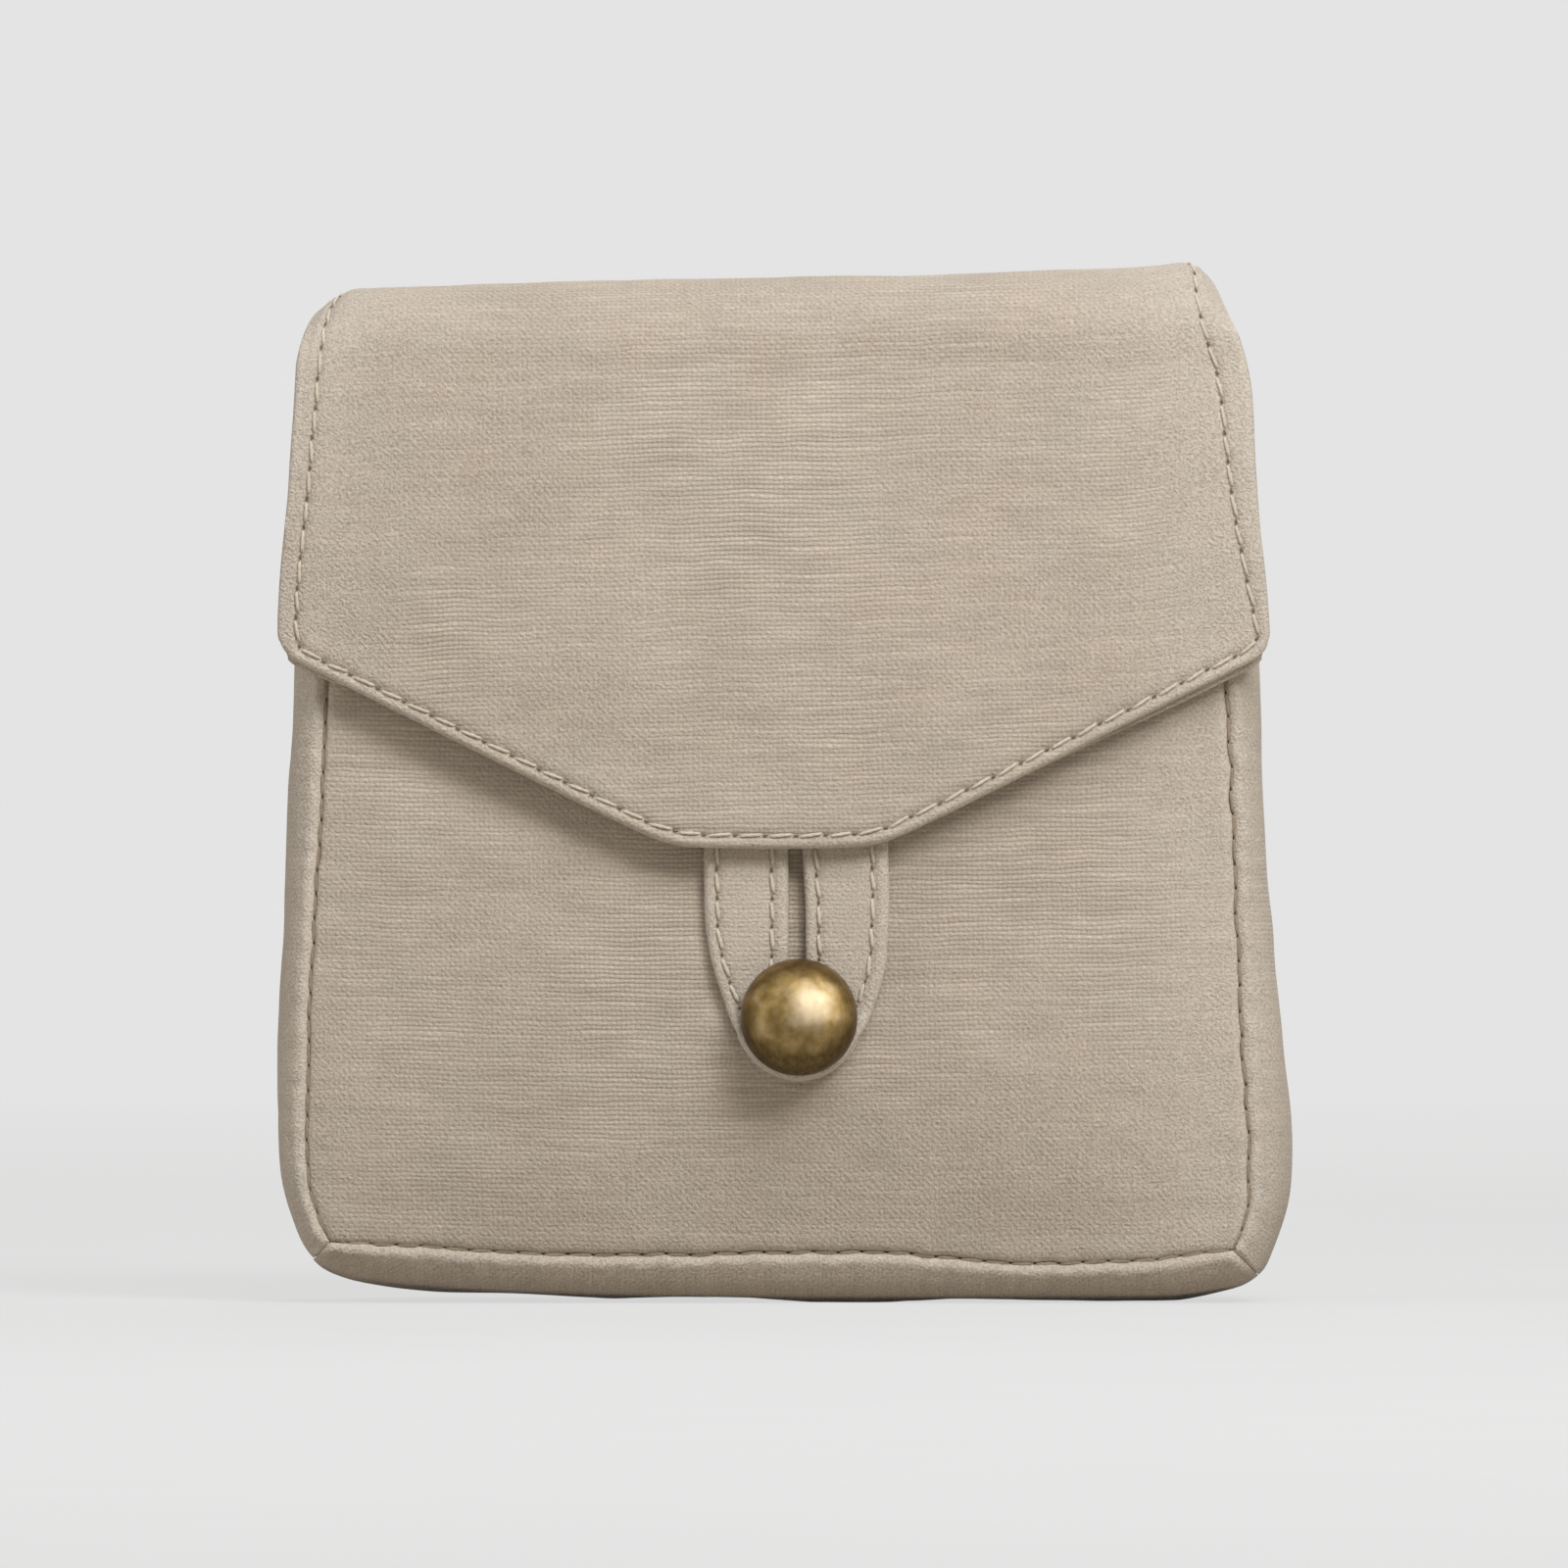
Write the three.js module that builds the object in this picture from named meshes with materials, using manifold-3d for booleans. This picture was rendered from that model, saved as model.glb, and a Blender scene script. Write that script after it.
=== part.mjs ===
// A small boxed linen pouch: padded, lined walls, a pointed flap that folds over the mouth,
// and a slit tab on the flap's point that buttons over a domed brass shank button.
// Millimetres. +Z is up, the front faces -Y, and the origin is the middle of the flat base.
import * as THREE from 'three';
import { mergeVertices } from 'three/addons/utils/BufferGeometryUtils.js';
import Module from 'manifold-3d';

const wasm = await Module();
wasm.setup();

// Cloth and clearances
const wallCloth = 0.8; // outer linen of the walls
const wallPadding = 1.0; // fleece behind the linen
const wallLining = 0.5; // lining cloth of the walls
const liningRoom = 1.2; // loose room between fleece and lining, where the button's patch lies
const flapCloth = 0.8; // outer linen of the flap
const flapPadding = 0.5; // interlining of the flap
const flapLining = 0.5; // lining cloth of the flap
const layerGap = 0.3; // between two layers of cloth
const seamGap = 0.3; // between two pieces that are sewn edge to edge
const threadRadius = 0.25; // topstitching thread

// The body, at its seams
const seamHalfDepth = 16; // middle plane to the front seam and to the back seam
const flatHalfDepth = 10; // flat part of the gussets, each side of the middle plane
const seamBottom = 6.5; // front and back seams above the base
const cornerLift = 1.0; // how much higher the seam is at its lower corners
const seamHalfTop = 55.5; // half width between the side seams at the mouth
const seamHalfLow = 60.8; // the same, low on the pouch
const cornerTuck = 2.2; // how far the side seams draw in at the lower corners
const tuckHeight = 14; // height over which they draw in
const mouthHeight = 122; // top of the front wall and of the side gussets
const backHeight = 125; // top of the back wall
const hemHeight = 1.0; // turned edge on top of the walls

// How far the gussets swell past the seams. The stuffed pouch sits fuller on its right.
const leftSide = { sign: -1, swellTop: 4.2, swellLow: 3.6, cornerRadius: 16 };
const rightSide = { sign: 1, swellTop: 3.8, swellLow: 6.1, cornerRadius: 13.5 };
const cornerTurn = 12; // seam length over which the gusset turns into the mitred corner

// How far the walls belly out between their seams
const frontCrown = 3.5;
const frontCrownRamp = 45; // height over which the front wall swells from its bottom seam
const mouthCrownShare = 0.5; // share of the front crown that is left at the mouth
const mouthFlattening = 29; // height below the mouth over which the crown dies down
const backCrown = 1.5;
const backCrownRamp = 22; // distance over which the back wall swells from its seams
const crownPower = 2.6;

// Flap
const flapTop = 132.8; // highest line of the flap
const flapHinge = 129.3; // height of the fold at the back edge
const flapCrest = 2; // from here to the back edge the flap slopes down
const foldRadius = 10; // outer radius of the fold at the front edge
const flapGap = 1.2; // between the front wall and the flap
const tabRoom = 1.3; // extra room behind the flap's point for the tab
const tabRoomTop = 105; // height at which that room starts
const tabRoomLow = 75; // height at which it is full
const flapCurl = 1.2; // how far the flap's side edges turn back
const flapEdgeDroop = 2.2; // how far the side edges hang below the middle, on top
const droopPower = 10;
const flapHalfBack = 56.5; // half width at the back edge
const flapHalfFold = 57.5; // half width where the front fold starts
const flapHalfDrop = 61.3; // half width where the front fold ends
const flapHalfLow = 64.2; // half width at the lower corners
const flapCorner = 86; // height of the lower corners
const flapPoint = 59; // height of the flap's point
const hemSlope = 0.5; // rise of the hem over its run
const pointHalf = 13.5; // half width of the point's blunt end
const pointRounding = 3;
const cornerRound = 1.6; // rounding of the lower corners
const straightenDepth = 60; // below the fold, over which the flap takes the front's belly
const innerLayerStart = 1.6; // flap padding and lining stop this far short of the back fold
const tailBottom = 113; // the flap's tail is sewn on the back wall from here up
const tailCloth = 0.8;
const stitchInset = 2.0; // topstitching in from an edge
const foldThreadGap = 1.2; // bare cloth each side of the line that the flap unfolds at

// Tab
const tabFaceCloth = 0.7;
const tabBackingCloth = 0.6;
const tabStandoff = 0.5; // between the front wall and the tab
const tabHalf = 12; // half width of the tab
const tabHalfTop = 11.7; // the same at the flap's hem
const tabTop = 59.6; // the tab bends here, just behind the hem
const tabShoulder = 12.7; // above the button's centre, where the tab starts to taper
const tabTaper = 5.7; // above the button's centre, where the taper is steepest
const tabTipRadius = 7.94;
const tabTipAngle = (28 * Math.PI) / 180; // below level, where the taper meets the round tip
const tabRootTop = 70; // top of the tongue that is sewn behind the flap
const slitHalf = 1.0; // half width of the slit
const keyholeRadius = 2.6; // round end of the slit, about the shank

// Button
const buttonX = 3.2;
const buttonZ = 37.3;
const buttonRadius = 7.5;
const domeHeight = 6.4;
const domeWall = 0.5;
const domeRim = 0.9; // straight rim behind the dome
const plateThickness = 0.5;
const plateClearance = 0.3; // around the back plate
const buttonStandoff = 1.8; // between the tab's face and the button
const eyeRadius = 1.75; // wire eye, to the middle of the wire
const eyeWire = 0.45; // wire radius
const shankThread = 0.35; // radius of the thread bundle that holds the button
const shankHalf = 1.3; // half distance between the thread's two legs
const threadHole = 0.75; // radius of the holes that the thread passes
const patchRadius = 5;
const patchThickness = 0.6;

// Resolution of the faceted cloth
const wallColumns = 10;
const wallRows = 8;
const turnSteps = 4; // steps where a gusset turns into a corner
const straightSteps = 4; // steps along the rest of a side gusset, and of half the bottom one
const roundSteps = 3; // steps in each rounded edge of a gusset
const flapColumns = 16;
const topRows = 5;
const arcStep = Math.PI / 12;
const dropRows = 7;

// Depths of the layers below the outer surface
const wallLayers = {
  linen: { from: 0, to: wallCloth },
  padding: { from: wallCloth + layerGap, to: wallCloth + layerGap + wallPadding },
};
wallLayers.lining = {
  from: wallLayers.padding.to + liningRoom,
  to: wallLayers.padding.to + liningRoom + wallLining,
};
const wallDepth = wallLayers.lining.to;
const flapLayers = {
  face: { from: 0, to: flapCloth },
  padding: { from: flapCloth + layerGap, to: flapCloth + layerGap + flapPadding },
};
flapLayers.lining = {
  from: flapLayers.padding.to + layerGap,
  to: flapLayers.padding.to + layerGap + flapLining,
};
const flapDepth = flapLayers.lining.to;
const threadLift = layerGap + threadRadius; // thread's centre above the cloth

const materials = {
  linen: new THREE.MeshStandardMaterial({ color: 0xbfb3a0, roughness: 0.95, metalness: 0 }),
  lining: new THREE.MeshStandardMaterial({ color: 0xcfc6b6, roughness: 0.9, metalness: 0 }),
  padding: new THREE.MeshStandardMaterial({ color: 0xe6e2d8, roughness: 1, metalness: 0 }),
  thread: new THREE.MeshStandardMaterial({ color: 0xd9ccb8, roughness: 0.8, metalness: 0 }),
  brass: new THREE.MeshStandardMaterial({ color: 0x8f7640, roughness: 0.35, metalness: 1 }),
};

const clamp = (value, low, high) => Math.min(high, Math.max(low, value));
const mix = (a, b, share) => a + (b - a) * share;
const smooth = (share) => clamp(share, 0, 1) ** 2 * (3 - 2 * clamp(share, 0, 1));

const pouch = new THREE.Group();

function addPart(name, geometry, material) {
  const mesh = new THREE.Mesh(geometry, material);
  mesh.name = name;
  pouch.add(mesh);
}

// A closed sheet of cloth between two grids of points, outer[row][column] and inner[row][column].
// Seen from outside the sheet, rows run downwards and columns run to the right.
function clothSheet(outer, inner) {
  const rows = outer.length;
  const columns = outer[0].length;
  const positions = [...outer.flat(), ...inner.flat()].flatMap((p) => [p.x, p.y, p.z]);
  const at = (side, r, c) => side * rows * columns + r * columns + c;
  const index = [];
  const quad = (a, b, c, d) => index.push(a, b, c, a, c, d);
  for (let r = 0; r < rows - 1; r++) {
    for (let c = 0; c < columns - 1; c++) {
      quad(at(0, r, c), at(0, r + 1, c), at(0, r + 1, c + 1), at(0, r, c + 1));
      quad(at(1, r, c), at(1, r, c + 1), at(1, r + 1, c + 1), at(1, r + 1, c));
    }
  }
  const rim = [];
  for (let c = 0; c < columns - 1; c++) rim.push([0, c]);
  for (let r = 0; r < rows - 1; r++) rim.push([r, columns - 1]);
  for (let c = columns - 1; c > 0; c--) rim.push([rows - 1, c]);
  for (let r = rows - 1; r > 0; r--) rim.push([r, 0]);
  rim.forEach(([r, c], i) => {
    const [nextRow, nextColumn] = rim[(i + 1) % rim.length];
    quad(at(0, r, c), at(0, nextRow, nextColumn), at(1, nextRow, nextColumn), at(1, r, c));
  });
  const geometry = new THREE.BufferGeometry();
  geometry.setAttribute('position', new THREE.Float32BufferAttribute(positions, 3));
  geometry.setIndex(index);
  geometry.computeVertexNormals();
  return geometry;
}

function toSolid(geometry) {
  const bare = geometry.clone();
  bare.deleteAttribute('normal');
  bare.deleteAttribute('uv');
  const merged = mergeVertices(bare, 1e-4);
  const mesh = new wasm.Mesh({
    numProp: 3,
    vertProperties: new Float32Array(merged.attributes.position.array),
    triVerts: new Uint32Array(merged.index.array),
  });
  return new wasm.Manifold(mesh);
}

function toGeometry(solid) {
  const { vertProperties, triVerts } = solid.getMesh();
  const geometry = new THREE.BufferGeometry();
  geometry.setAttribute('position', new THREE.Float32BufferAttribute(vertProperties, 3));
  geometry.setIndex(Array.from(triVerts));
  geometry.computeVertexNormals();
  return geometry;
}

// A round section along a smooth line through the points.
function tube(points, radius, steps, sides = 5) {
  const section = new THREE.Shape();
  for (let i = 0; i < sides; i++) {
    const angle = (2 * Math.PI * i) / sides;
    const [x, y] = [radius * Math.cos(angle), radius * Math.sin(angle)];
    if (i === 0) section.moveTo(x, y);
    else section.lineTo(x, y);
  }
  const path = new THREE.CatmullRomCurve3(points, false, 'centripetal');
  return new THREE.ExtrudeGeometry(section, { steps, extrudePath: path, bevelEnabled: false });
}

// The seam line
function bodyHalf(z) {
  const share = clamp((mouthHeight - z) / (mouthHeight - seamBottom), 0, 1);
  return mix(seamHalfTop, seamHalfLow, Math.sin((share * Math.PI) / 2));
}

function seamHalf(z) {
  const tuck = clamp(1 - (z - seamBottom) / tuckHeight, 0, 1);
  return bodyHalf(z) - cornerTuck * tuck ** 2;
}

const seamCornerZ = seamBottom + cornerLift;
const seamCornerX = seamHalf(seamCornerZ);
const seamHeight = (x) => seamBottom + cornerLift * Math.abs(x / seamCornerX) ** 4;

// The outline that the gussets swell to
function outlineHalf(side, z) {
  const share = clamp((mouthHeight - z) / (mouthHeight - seamBottom), 0, 1);
  return bodyHalf(z) + mix(side.swellTop, side.swellLow, share);
}

// x is measured outwards from the middle of the pouch.
function isOutside(side, x, z) {
  const half = outlineHalf(side, Math.max(z, side.cornerRadius));
  const past = x - (half - side.cornerRadius);
  const below = side.cornerRadius - z;
  if (past > 0 && below > 0) return Math.hypot(past, below) > side.cornerRadius;
  return x > half || z < 0;
}

// One section of a gusset: where it leaves the seam, the way it swells and how far.
function gussetSection(side, x, z, angle) {
  const out = new THREE.Vector2(Math.cos(angle), -Math.sin(angle));
  let low = 0;
  let high = side.cornerRadius + side.swellLow + seamBottom;
  for (let i = 0; i < 50; i++) {
    const middle = (low + high) / 2;
    if (isOutside(side, x + out.x * middle, z + out.y * middle)) high = middle;
    else low = middle;
  }
  return { x: side.sign * x, z, outX: side.sign * out.x, outZ: out.y, swell: low };
}

const mitre = Math.PI / 4;
const mitreShift = seamGap / Math.SQRT2;

// Places along a seam from its corner: close together in the turn, then further apart.
function stationsFrom(corner, end) {
  const turnEnd = corner + cornerTurn * Math.sign(end - corner);
  const places = [];
  for (let i = 0; i < turnSteps; i++) places.push(mix(corner, turnEnd, i / turnSteps));
  for (let i = 0; i <= straightSteps; i++) places.push(mix(turnEnd, end, i / straightSteps));
  return places;
}

function sideSections(side) {
  const low = seamCornerZ + mitreShift;
  const sections = stationsFrom(low, mouthHeight).map((z) => {
    const angle = mitre * (1 - smooth((z - low) / cornerTurn));
    return gussetSection(side, seamHalf(z), z, angle);
  });
  return sections.reverse();
}

function bottomSections() {
  const end = seamCornerX - mitreShift;
  const half = (side) =>
    stationsFrom(end, 0).map((x) => {
      const angle = mix(mitre, Math.PI / 2, smooth((end - x) / cornerTurn));
      return gussetSection(side, x, seamHeight(x), angle);
    });
  return [...half(leftSide), ...half(rightSide).reverse().slice(1)];
}

// Across the depth: y and the share of the swell, from the front seam to the back seam.
function depthProfile(depth) {
  const half = [];
  const rounding = seamHalfDepth - depth - flatHalfDepth;
  for (let i = 0; i <= roundSteps; i++) {
    const angle = (i / roundSteps) * (Math.PI / 2);
    half.push([flatHalfDepth + rounding * Math.cos(angle), Math.sin(angle)]);
  }
  const front = half.map(([y, share]) => [-y, share]);
  const back = half.map(([y, share]) => [y, share]).reverse();
  return [...front, ...back];
}

function gussetPoint(section, depth, y, share) {
  const out = seamGap / 2 + (section.swell - depth - seamGap / 2) * share;
  return new THREE.Vector3(section.x + section.outX * out, y, section.z + section.outZ * out);
}

const gussetRow = (section, depth) =>
  depthProfile(depth).map(([y, share]) => gussetPoint(section, depth, y, share));

// Rows run along the seam and columns across the depth, right way out for the given side.
function gussetSheet(sections, layer, facesLeft) {
  const grid = (depth) => {
    const rows = sections.map((section) => gussetRow(section, depth));
    return facesLeft ? rows.map((row) => row.reverse()) : rows;
  };
  return clothSheet(grid(layer.from), grid(layer.to));
}

// Front and back walls
function frontBelly(x, z) {
  const across = 1 - clamp(Math.abs(x) / seamHalf(z), 0, 1) ** crownPower;
  const up = 1 - clamp(1 - (z - seamBottom) / frontCrownRamp, 0, 1) ** crownPower;
  const nearMouth = clamp((z - mouthHeight + mouthFlattening) / mouthFlattening, 0, 1);
  return frontCrown * across * up * (1 - (1 - mouthCrownShare) * nearMouth ** 2);
}

function backBelly(x, z) {
  const fromSide = seamHalf(z) - Math.abs(x);
  const fromEnds = Math.min(z - seamBottom, tailBottom - z);
  const ramp = (distance) => smooth(distance / backCrownRamp);
  return backCrown * ramp(fromSide) * ramp(fromEnds);
}

const spread = (columns) =>
  Array.from({ length: columns + 1 }, (_, i) => Math.sin((Math.PI / 2) * (-1 + (2 * i) / columns)));

// facing is -1 for the front wall and 1 for the back wall. low is a height for each column.
function wallSheet(facing, layer, low, high, rows = wallRows) {
  const belly = facing < 0 ? frontBelly : backBelly;
  const columns = spread(wallColumns);
  const inset = seamGap / 2;
  const grid = (depth) => {
    const points = [];
    for (let r = 0; r <= rows; r++) {
      const share = (1 - r / rows) ** 1.4;
      const row = columns.map((column) => {
        const z = mix(low(column), high, share);
        const x = column * (seamHalf(z) - inset);
        return new THREE.Vector3(x, facing * (seamHalfDepth - depth + belly(x, z)), z);
      });
      points.push(facing < 0 ? row : row.reverse());
    }
    return points;
  };
  return clothSheet(grid(layer.from), grid(layer.to));
}

const bottomSeamAt = (column) => seamHeight(column * seamCornerX) + seamGap / 2;

// Holes for the shank thread, through whatever lies behind the button
function withThreadHoles(geometry) {
  let solid = toSolid(geometry);
  for (const side of [-1, 1]) {
    const hole = new THREE.CylinderGeometry(threadHole, threadHole, 2 * seamHalfDepth, 12);
    hole.translate(buttonX + side * shankHalf, -seamHalfDepth, buttonZ);
    solid = solid.subtract(toSolid(hole));
  }
  return toGeometry(solid);
}

function buildWalls() {
  const cloths = { linen: 'panel', padding: 'padding', lining: 'lining' };
  for (const [layerName, word] of Object.entries(cloths)) {
    const layer = wallLayers[layerName];
    const front = wallSheet(-1, layer, bottomSeamAt, mouthHeight);
    const pierced = layerName === 'lining' ? front : withThreadHoles(front);
    addPart('front_' + word, pierced, materials[layerName]);
    addPart('back_' + word, wallSheet(1, layer, bottomSeamAt, backHeight), materials[layerName]);
    const gusset = layerName === 'linen' ? 'gusset' : 'gusset_' + word;
    for (const [name, side] of [['left_', leftSide], ['right_', rightSide]]) {
      const sheet = gussetSheet(sideSections(side), layer, side === leftSide);
      addPart(name + gusset, sheet, materials[layerName]);
    }
    addPart('bottom_' + gusset, gussetSheet(bottomSections(), layer, true), materials[layerName]);
  }
}

// The turned edges that close the layers at the mouth
function buildMouthHems() {
  const low = mouthHeight + layerGap;
  const high = low + hemHeight;
  const backLow = backHeight + layerGap;
  const backHigh = backLow + hemHeight;
  const wholeWall = { from: 0, to: wallDepth };
  addPart('front_mouth_hem', wallSheet(-1, wholeWall, () => low, high, 1), materials.linen);
  addPart('back_mouth_hem', wallSheet(1, wholeWall, () => backLow, backHigh, 1), materials.linen);
  for (const [name, side] of [['left_mouth_hem', leftSide], ['right_mouth_hem', rightSide]]) {
    const sections = [high, low].map((z) => gussetSection(side, seamHalf(z), z, 0));
    addPart(name, gussetSheet(sections, wholeWall, side === leftSide), materials.linen);
  }
}

// Flap
const hingeY = seamHalfDepth + layerGap + tailCloth;
const foldCentreZ = flapTop - foldRadius;

function flapHalf(z) {
  return mix(flapHalfDrop, flapHalfLow, clamp((foldCentreZ - z) / (foldCentreZ - flapCorner), 0, 1));
}

// How far the flap's back stands in front of the seam plane
function flapStandoff(x, z) {
  const across = clamp(Math.abs(x) / flapHalf(z), 0, 1);
  const room = tabRoom * smooth((tabRoomTop - z) / (tabRoomTop - tabRoomLow));
  const middle = frontBelly(0, z) + flapGap + room;
  const here =
    frontBelly(x, z) + flapGap + room * (1 - across ** 3) - flapCurl * across ** 8;
  return mix(middle, here, smooth((foldCentreZ - z) / straightenDepth));
}

const flapFrontY = (x, z, depth) => -(seamHalfDepth + flapStandoff(x, z) + flapDepth - depth);
const foldY = -flapFrontY(0, foldCentreZ, 0);
const foldCentreY = -(foldY - foldRadius);

function hemZ(x) {
  const past = Math.abs(x) - pointHalf;
  const rise = (past + Math.hypot(past, pointRounding)) / 2;
  const intoCorner = clamp(1 - (flapHalfLow - Math.abs(x)) / (2 * cornerRound), 0, 1);
  return flapPoint + hemSlope * rise + cornerRound * intoCorner ** 2;
}

const edgeDroop = (column) => flapEdgeDroop * Math.abs(column) ** droopPower;

// A point of the flap's top. along runs from the back fold, 0, to the front fold, 1.
function flapTopPoint(column, along, depth) {
  const y = mix(hingeY, foldCentreY, along);
  const back = clamp((y - flapCrest) / (hingeY - flapCrest), 0, 1);
  const slope = (flapTop - flapHinge) * back ** 2;
  const z = flapTop - slope - edgeDroop(column) * (1 - back) - depth;
  return new THREE.Vector3(column * mix(flapHalfBack, flapHalfFold, along), y, z);
}

// A point of the front fold. angle runs from 0, level, to a quarter turn.
function flapFoldPoint(column, angle, depth) {
  const half = mix(flapHalfFold, flapHalfDrop, smooth(angle / (Math.PI / 2)));
  const radius = foldRadius - depth;
  return new THREE.Vector3(
    column * half,
    foldCentreY - radius * Math.sin(angle),
    foldCentreZ + (radius - edgeDroop(column)) * Math.cos(angle),
  );
}

// A point of the flap's front. down runs from the fold, 0, to the hem, 1.
function flapFrontPoint(column, down, depth) {
  const hem = hemZ(column * flapHalfLow);
  const z = mix(foldCentreZ, hem, down);
  const x = column * flapHalf(z);
  return new THREE.Vector3(x, flapFrontY(x, z, depth), z);
}

const foldLine = Math.PI / 4;
const foldShift = seamGap / 2 / foldRadius;

function flapTopSheet(layer, start) {
  const columns = spread(flapColumns);
  const grid = (depth) => {
    const rows = [];
    for (let i = 0; i < topRows; i++) {
      rows.push(columns.map((c) => flapTopPoint(c, mix(start, 1, i / topRows), depth)));
    }
    for (let angle = 0; angle < foldLine - arcStep / 2; angle += arcStep) {
      rows.push(columns.map((c) => flapFoldPoint(c, angle, depth)));
    }
    rows.push(columns.map((c) => flapFoldPoint(c, foldLine - foldShift, depth)));
    return rows;
  };
  return clothSheet(grid(layer.from), grid(layer.to));
}

function flapFrontSheet(layer) {
  const columns = spread(flapColumns);
  const grid = (depth) => {
    const rows = [columns.map((c) => flapFoldPoint(c, foldLine + foldShift, depth))];
    for (let angle = foldLine + arcStep; angle < Math.PI / 2 - arcStep / 2; angle += arcStep) {
      rows.push(columns.map((c) => flapFoldPoint(c, angle, depth)));
    }
    for (let i = 0; i <= dropRows; i++) {
      rows.push(columns.map((c) => flapFrontPoint(c, i / dropRows, depth)));
    }
    return rows;
  };
  return clothSheet(grid(layer.from), grid(layer.to));
}

// The tail is the part of the flap's linen that is sewn to the back wall.
function tailSheet() {
  const top = flapHinge - flapCloth - seamGap;
  const grid = (y) =>
    [top, mix(tailBottom, top, 0.5), tailBottom].map((z) =>
      spread(wallColumns).map((c) => new THREE.Vector3(-c * flapHalfBack, y, z)),
    );
  return clothSheet(grid(hingeY), grid(hingeY - tailCloth));
}

function buildFlap() {
  const cloths = { face: materials.linen, padding: materials.padding, lining: materials.lining };
  const innerStart = innerLayerStart / (hingeY - foldCentreY);
  for (const [name, material] of Object.entries(cloths)) {
    const layer = flapLayers[name];
    addPart('flap_top_' + name, flapTopSheet(layer, name === 'face' ? 0 : innerStart), material);
    addPart('flap_front_' + name, flapFrontSheet(layer), material);
  }
  addPart('flap_tail', tailSheet(), materials.linen);
}

// Tab
const tabBackY = -(seamHalfDepth + frontBelly(buttonX, flapPoint) + tabStandoff);
const tabFaceBackY = tabBackY - tabBackingCloth - layerGap;
const tabFrontY = tabFaceBackY - tabFaceCloth;

// A shape drawn in x and z becomes a plate that reaches forward from y.
function plate(shape, y, thickness) {
  const geometry = new THREE.ExtrudeGeometry(shape, {
    depth: thickness,
    bevelEnabled: false,
    curveSegments: 8,
  });
  geometry.rotateX(Math.PI / 2);
  geometry.translate(buttonX, y, 0);
  return geometry;
}

// The tab's outline: two legs that meet in a round tip, with the slit between them.
function tabShape() {
  const taperX = tabTipRadius * Math.cos(tabTipAngle);
  const taperZ = buttonZ - tabTipRadius * Math.sin(tabTipAngle);
  const keyholeTop = Math.acos(slitHalf / keyholeRadius);
  const shape = new THREE.Shape();
  shape.moveTo(-slitHalf, tabTop);
  shape.lineTo(-tabHalfTop, tabTop);
  shape.lineTo(-tabHalf, buttonZ + tabShoulder);
  shape.quadraticCurveTo(-tabHalf, buttonZ + tabTaper, -taperX, taperZ);
  shape.absarc(0, buttonZ, tabTipRadius, Math.PI + tabTipAngle, 2 * Math.PI - tabTipAngle, false);
  shape.quadraticCurveTo(tabHalf, buttonZ + tabTaper, tabHalf, buttonZ + tabShoulder);
  shape.lineTo(tabHalfTop, tabTop);
  shape.lineTo(slitHalf, tabTop);
  shape.absarc(0, buttonZ, keyholeRadius, keyholeTop, Math.PI - keyholeTop, true);
  shape.closePath();
  return shape;
}

// Follows the tab's outer edge, inset by the stitch distance, as far up as the flap's hem.
function tabEdgeLine() {
  const points = [];
  const top = flapPoint - 2 * seamGap;
  const outer = tabHalf - stitchInset * 0.8;
  const tip = tabTipRadius - stitchInset * 0.8;
  points.push([-outer, top], [-outer, buttonZ + tabShoulder], [-outer * 0.93, buttonZ + tabTaper]);
  for (let angle = 200; angle <= 340; angle += 28) {
    const turn = (angle * Math.PI) / 180;
    points.push([tip * Math.cos(turn), buttonZ + tip * Math.sin(turn)]);
  }
  points.push([outer * 0.93, buttonZ + tabTaper], [outer, buttonZ + tabShoulder], [outer, top]);
  return points;
}

function tabSlitLine() {
  const points = [];
  const top = flapPoint - 2 * seamGap;
  const side = slitHalf + stitchInset * 0.8;
  const round = keyholeRadius + stitchInset * 0.6;
  points.push([-side, top], [-side, buttonZ + 3 * keyholeRadius]);
  for (let angle = 150; angle <= 390; angle += 40) {
    const turn = (angle * Math.PI) / 180;
    points.push([round * Math.cos(turn), buttonZ + round * Math.sin(turn)]);
  }
  points.push([side, buttonZ + 3 * keyholeRadius], [side, top]);
  return points;
}

function buildTab() {
  const shape = tabShape();
  addPart('tab_face', plate(shape, tabFaceBackY, tabFaceCloth), materials.linen);
  addPart('tab_backing', plate(shape, tabBackY, tabBackingCloth), materials.linen);
  const root = new THREE.Shape();
  root.moveTo(-tabHalfTop, tabTop + seamGap);
  root.lineTo(tabHalfTop, tabTop + seamGap);
  root.lineTo(tabHalfTop, tabRootTop);
  root.lineTo(-tabHalfTop, tabRootTop);
  root.closePath();
  addPart('tab_root', plate(root, tabBackY, tabBackY - tabFrontY), materials.linen);
  const onFace = ([x, z]) => new THREE.Vector3(buttonX + x, tabFrontY - threadLift, z);
  addPart('tab_edge_stitch', tube(tabEdgeLine().map(onFace), threadRadius, 26), materials.thread);
  addPart('tab_slit_stitch', tube(tabSlitLine().map(onFace), threadRadius, 24), materials.thread);
}

// Button
const wallAtButton = -(seamHalfDepth + frontBelly(buttonX, buttonZ));
const buttonBackY = tabFrontY - buttonStandoff;
const eyeEnd = wallAtButton - layerGap - eyeWire - eyeRadius;
const pivotY = eyeEnd + eyeRadius - eyeWire - layerGap - shankThread;

// A profile of radius and height, turned about the button's axis. Height runs forward.
function turned(profile, segments = 24) {
  const points = profile.map(([radius, height]) => new THREE.Vector2(radius, height));
  const geometry = new THREE.LatheGeometry(points, segments);
  geometry.rotateX(Math.PI);
  geometry.translate(buttonX, buttonBackY, buttonZ);
  return geometry;
}

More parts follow.
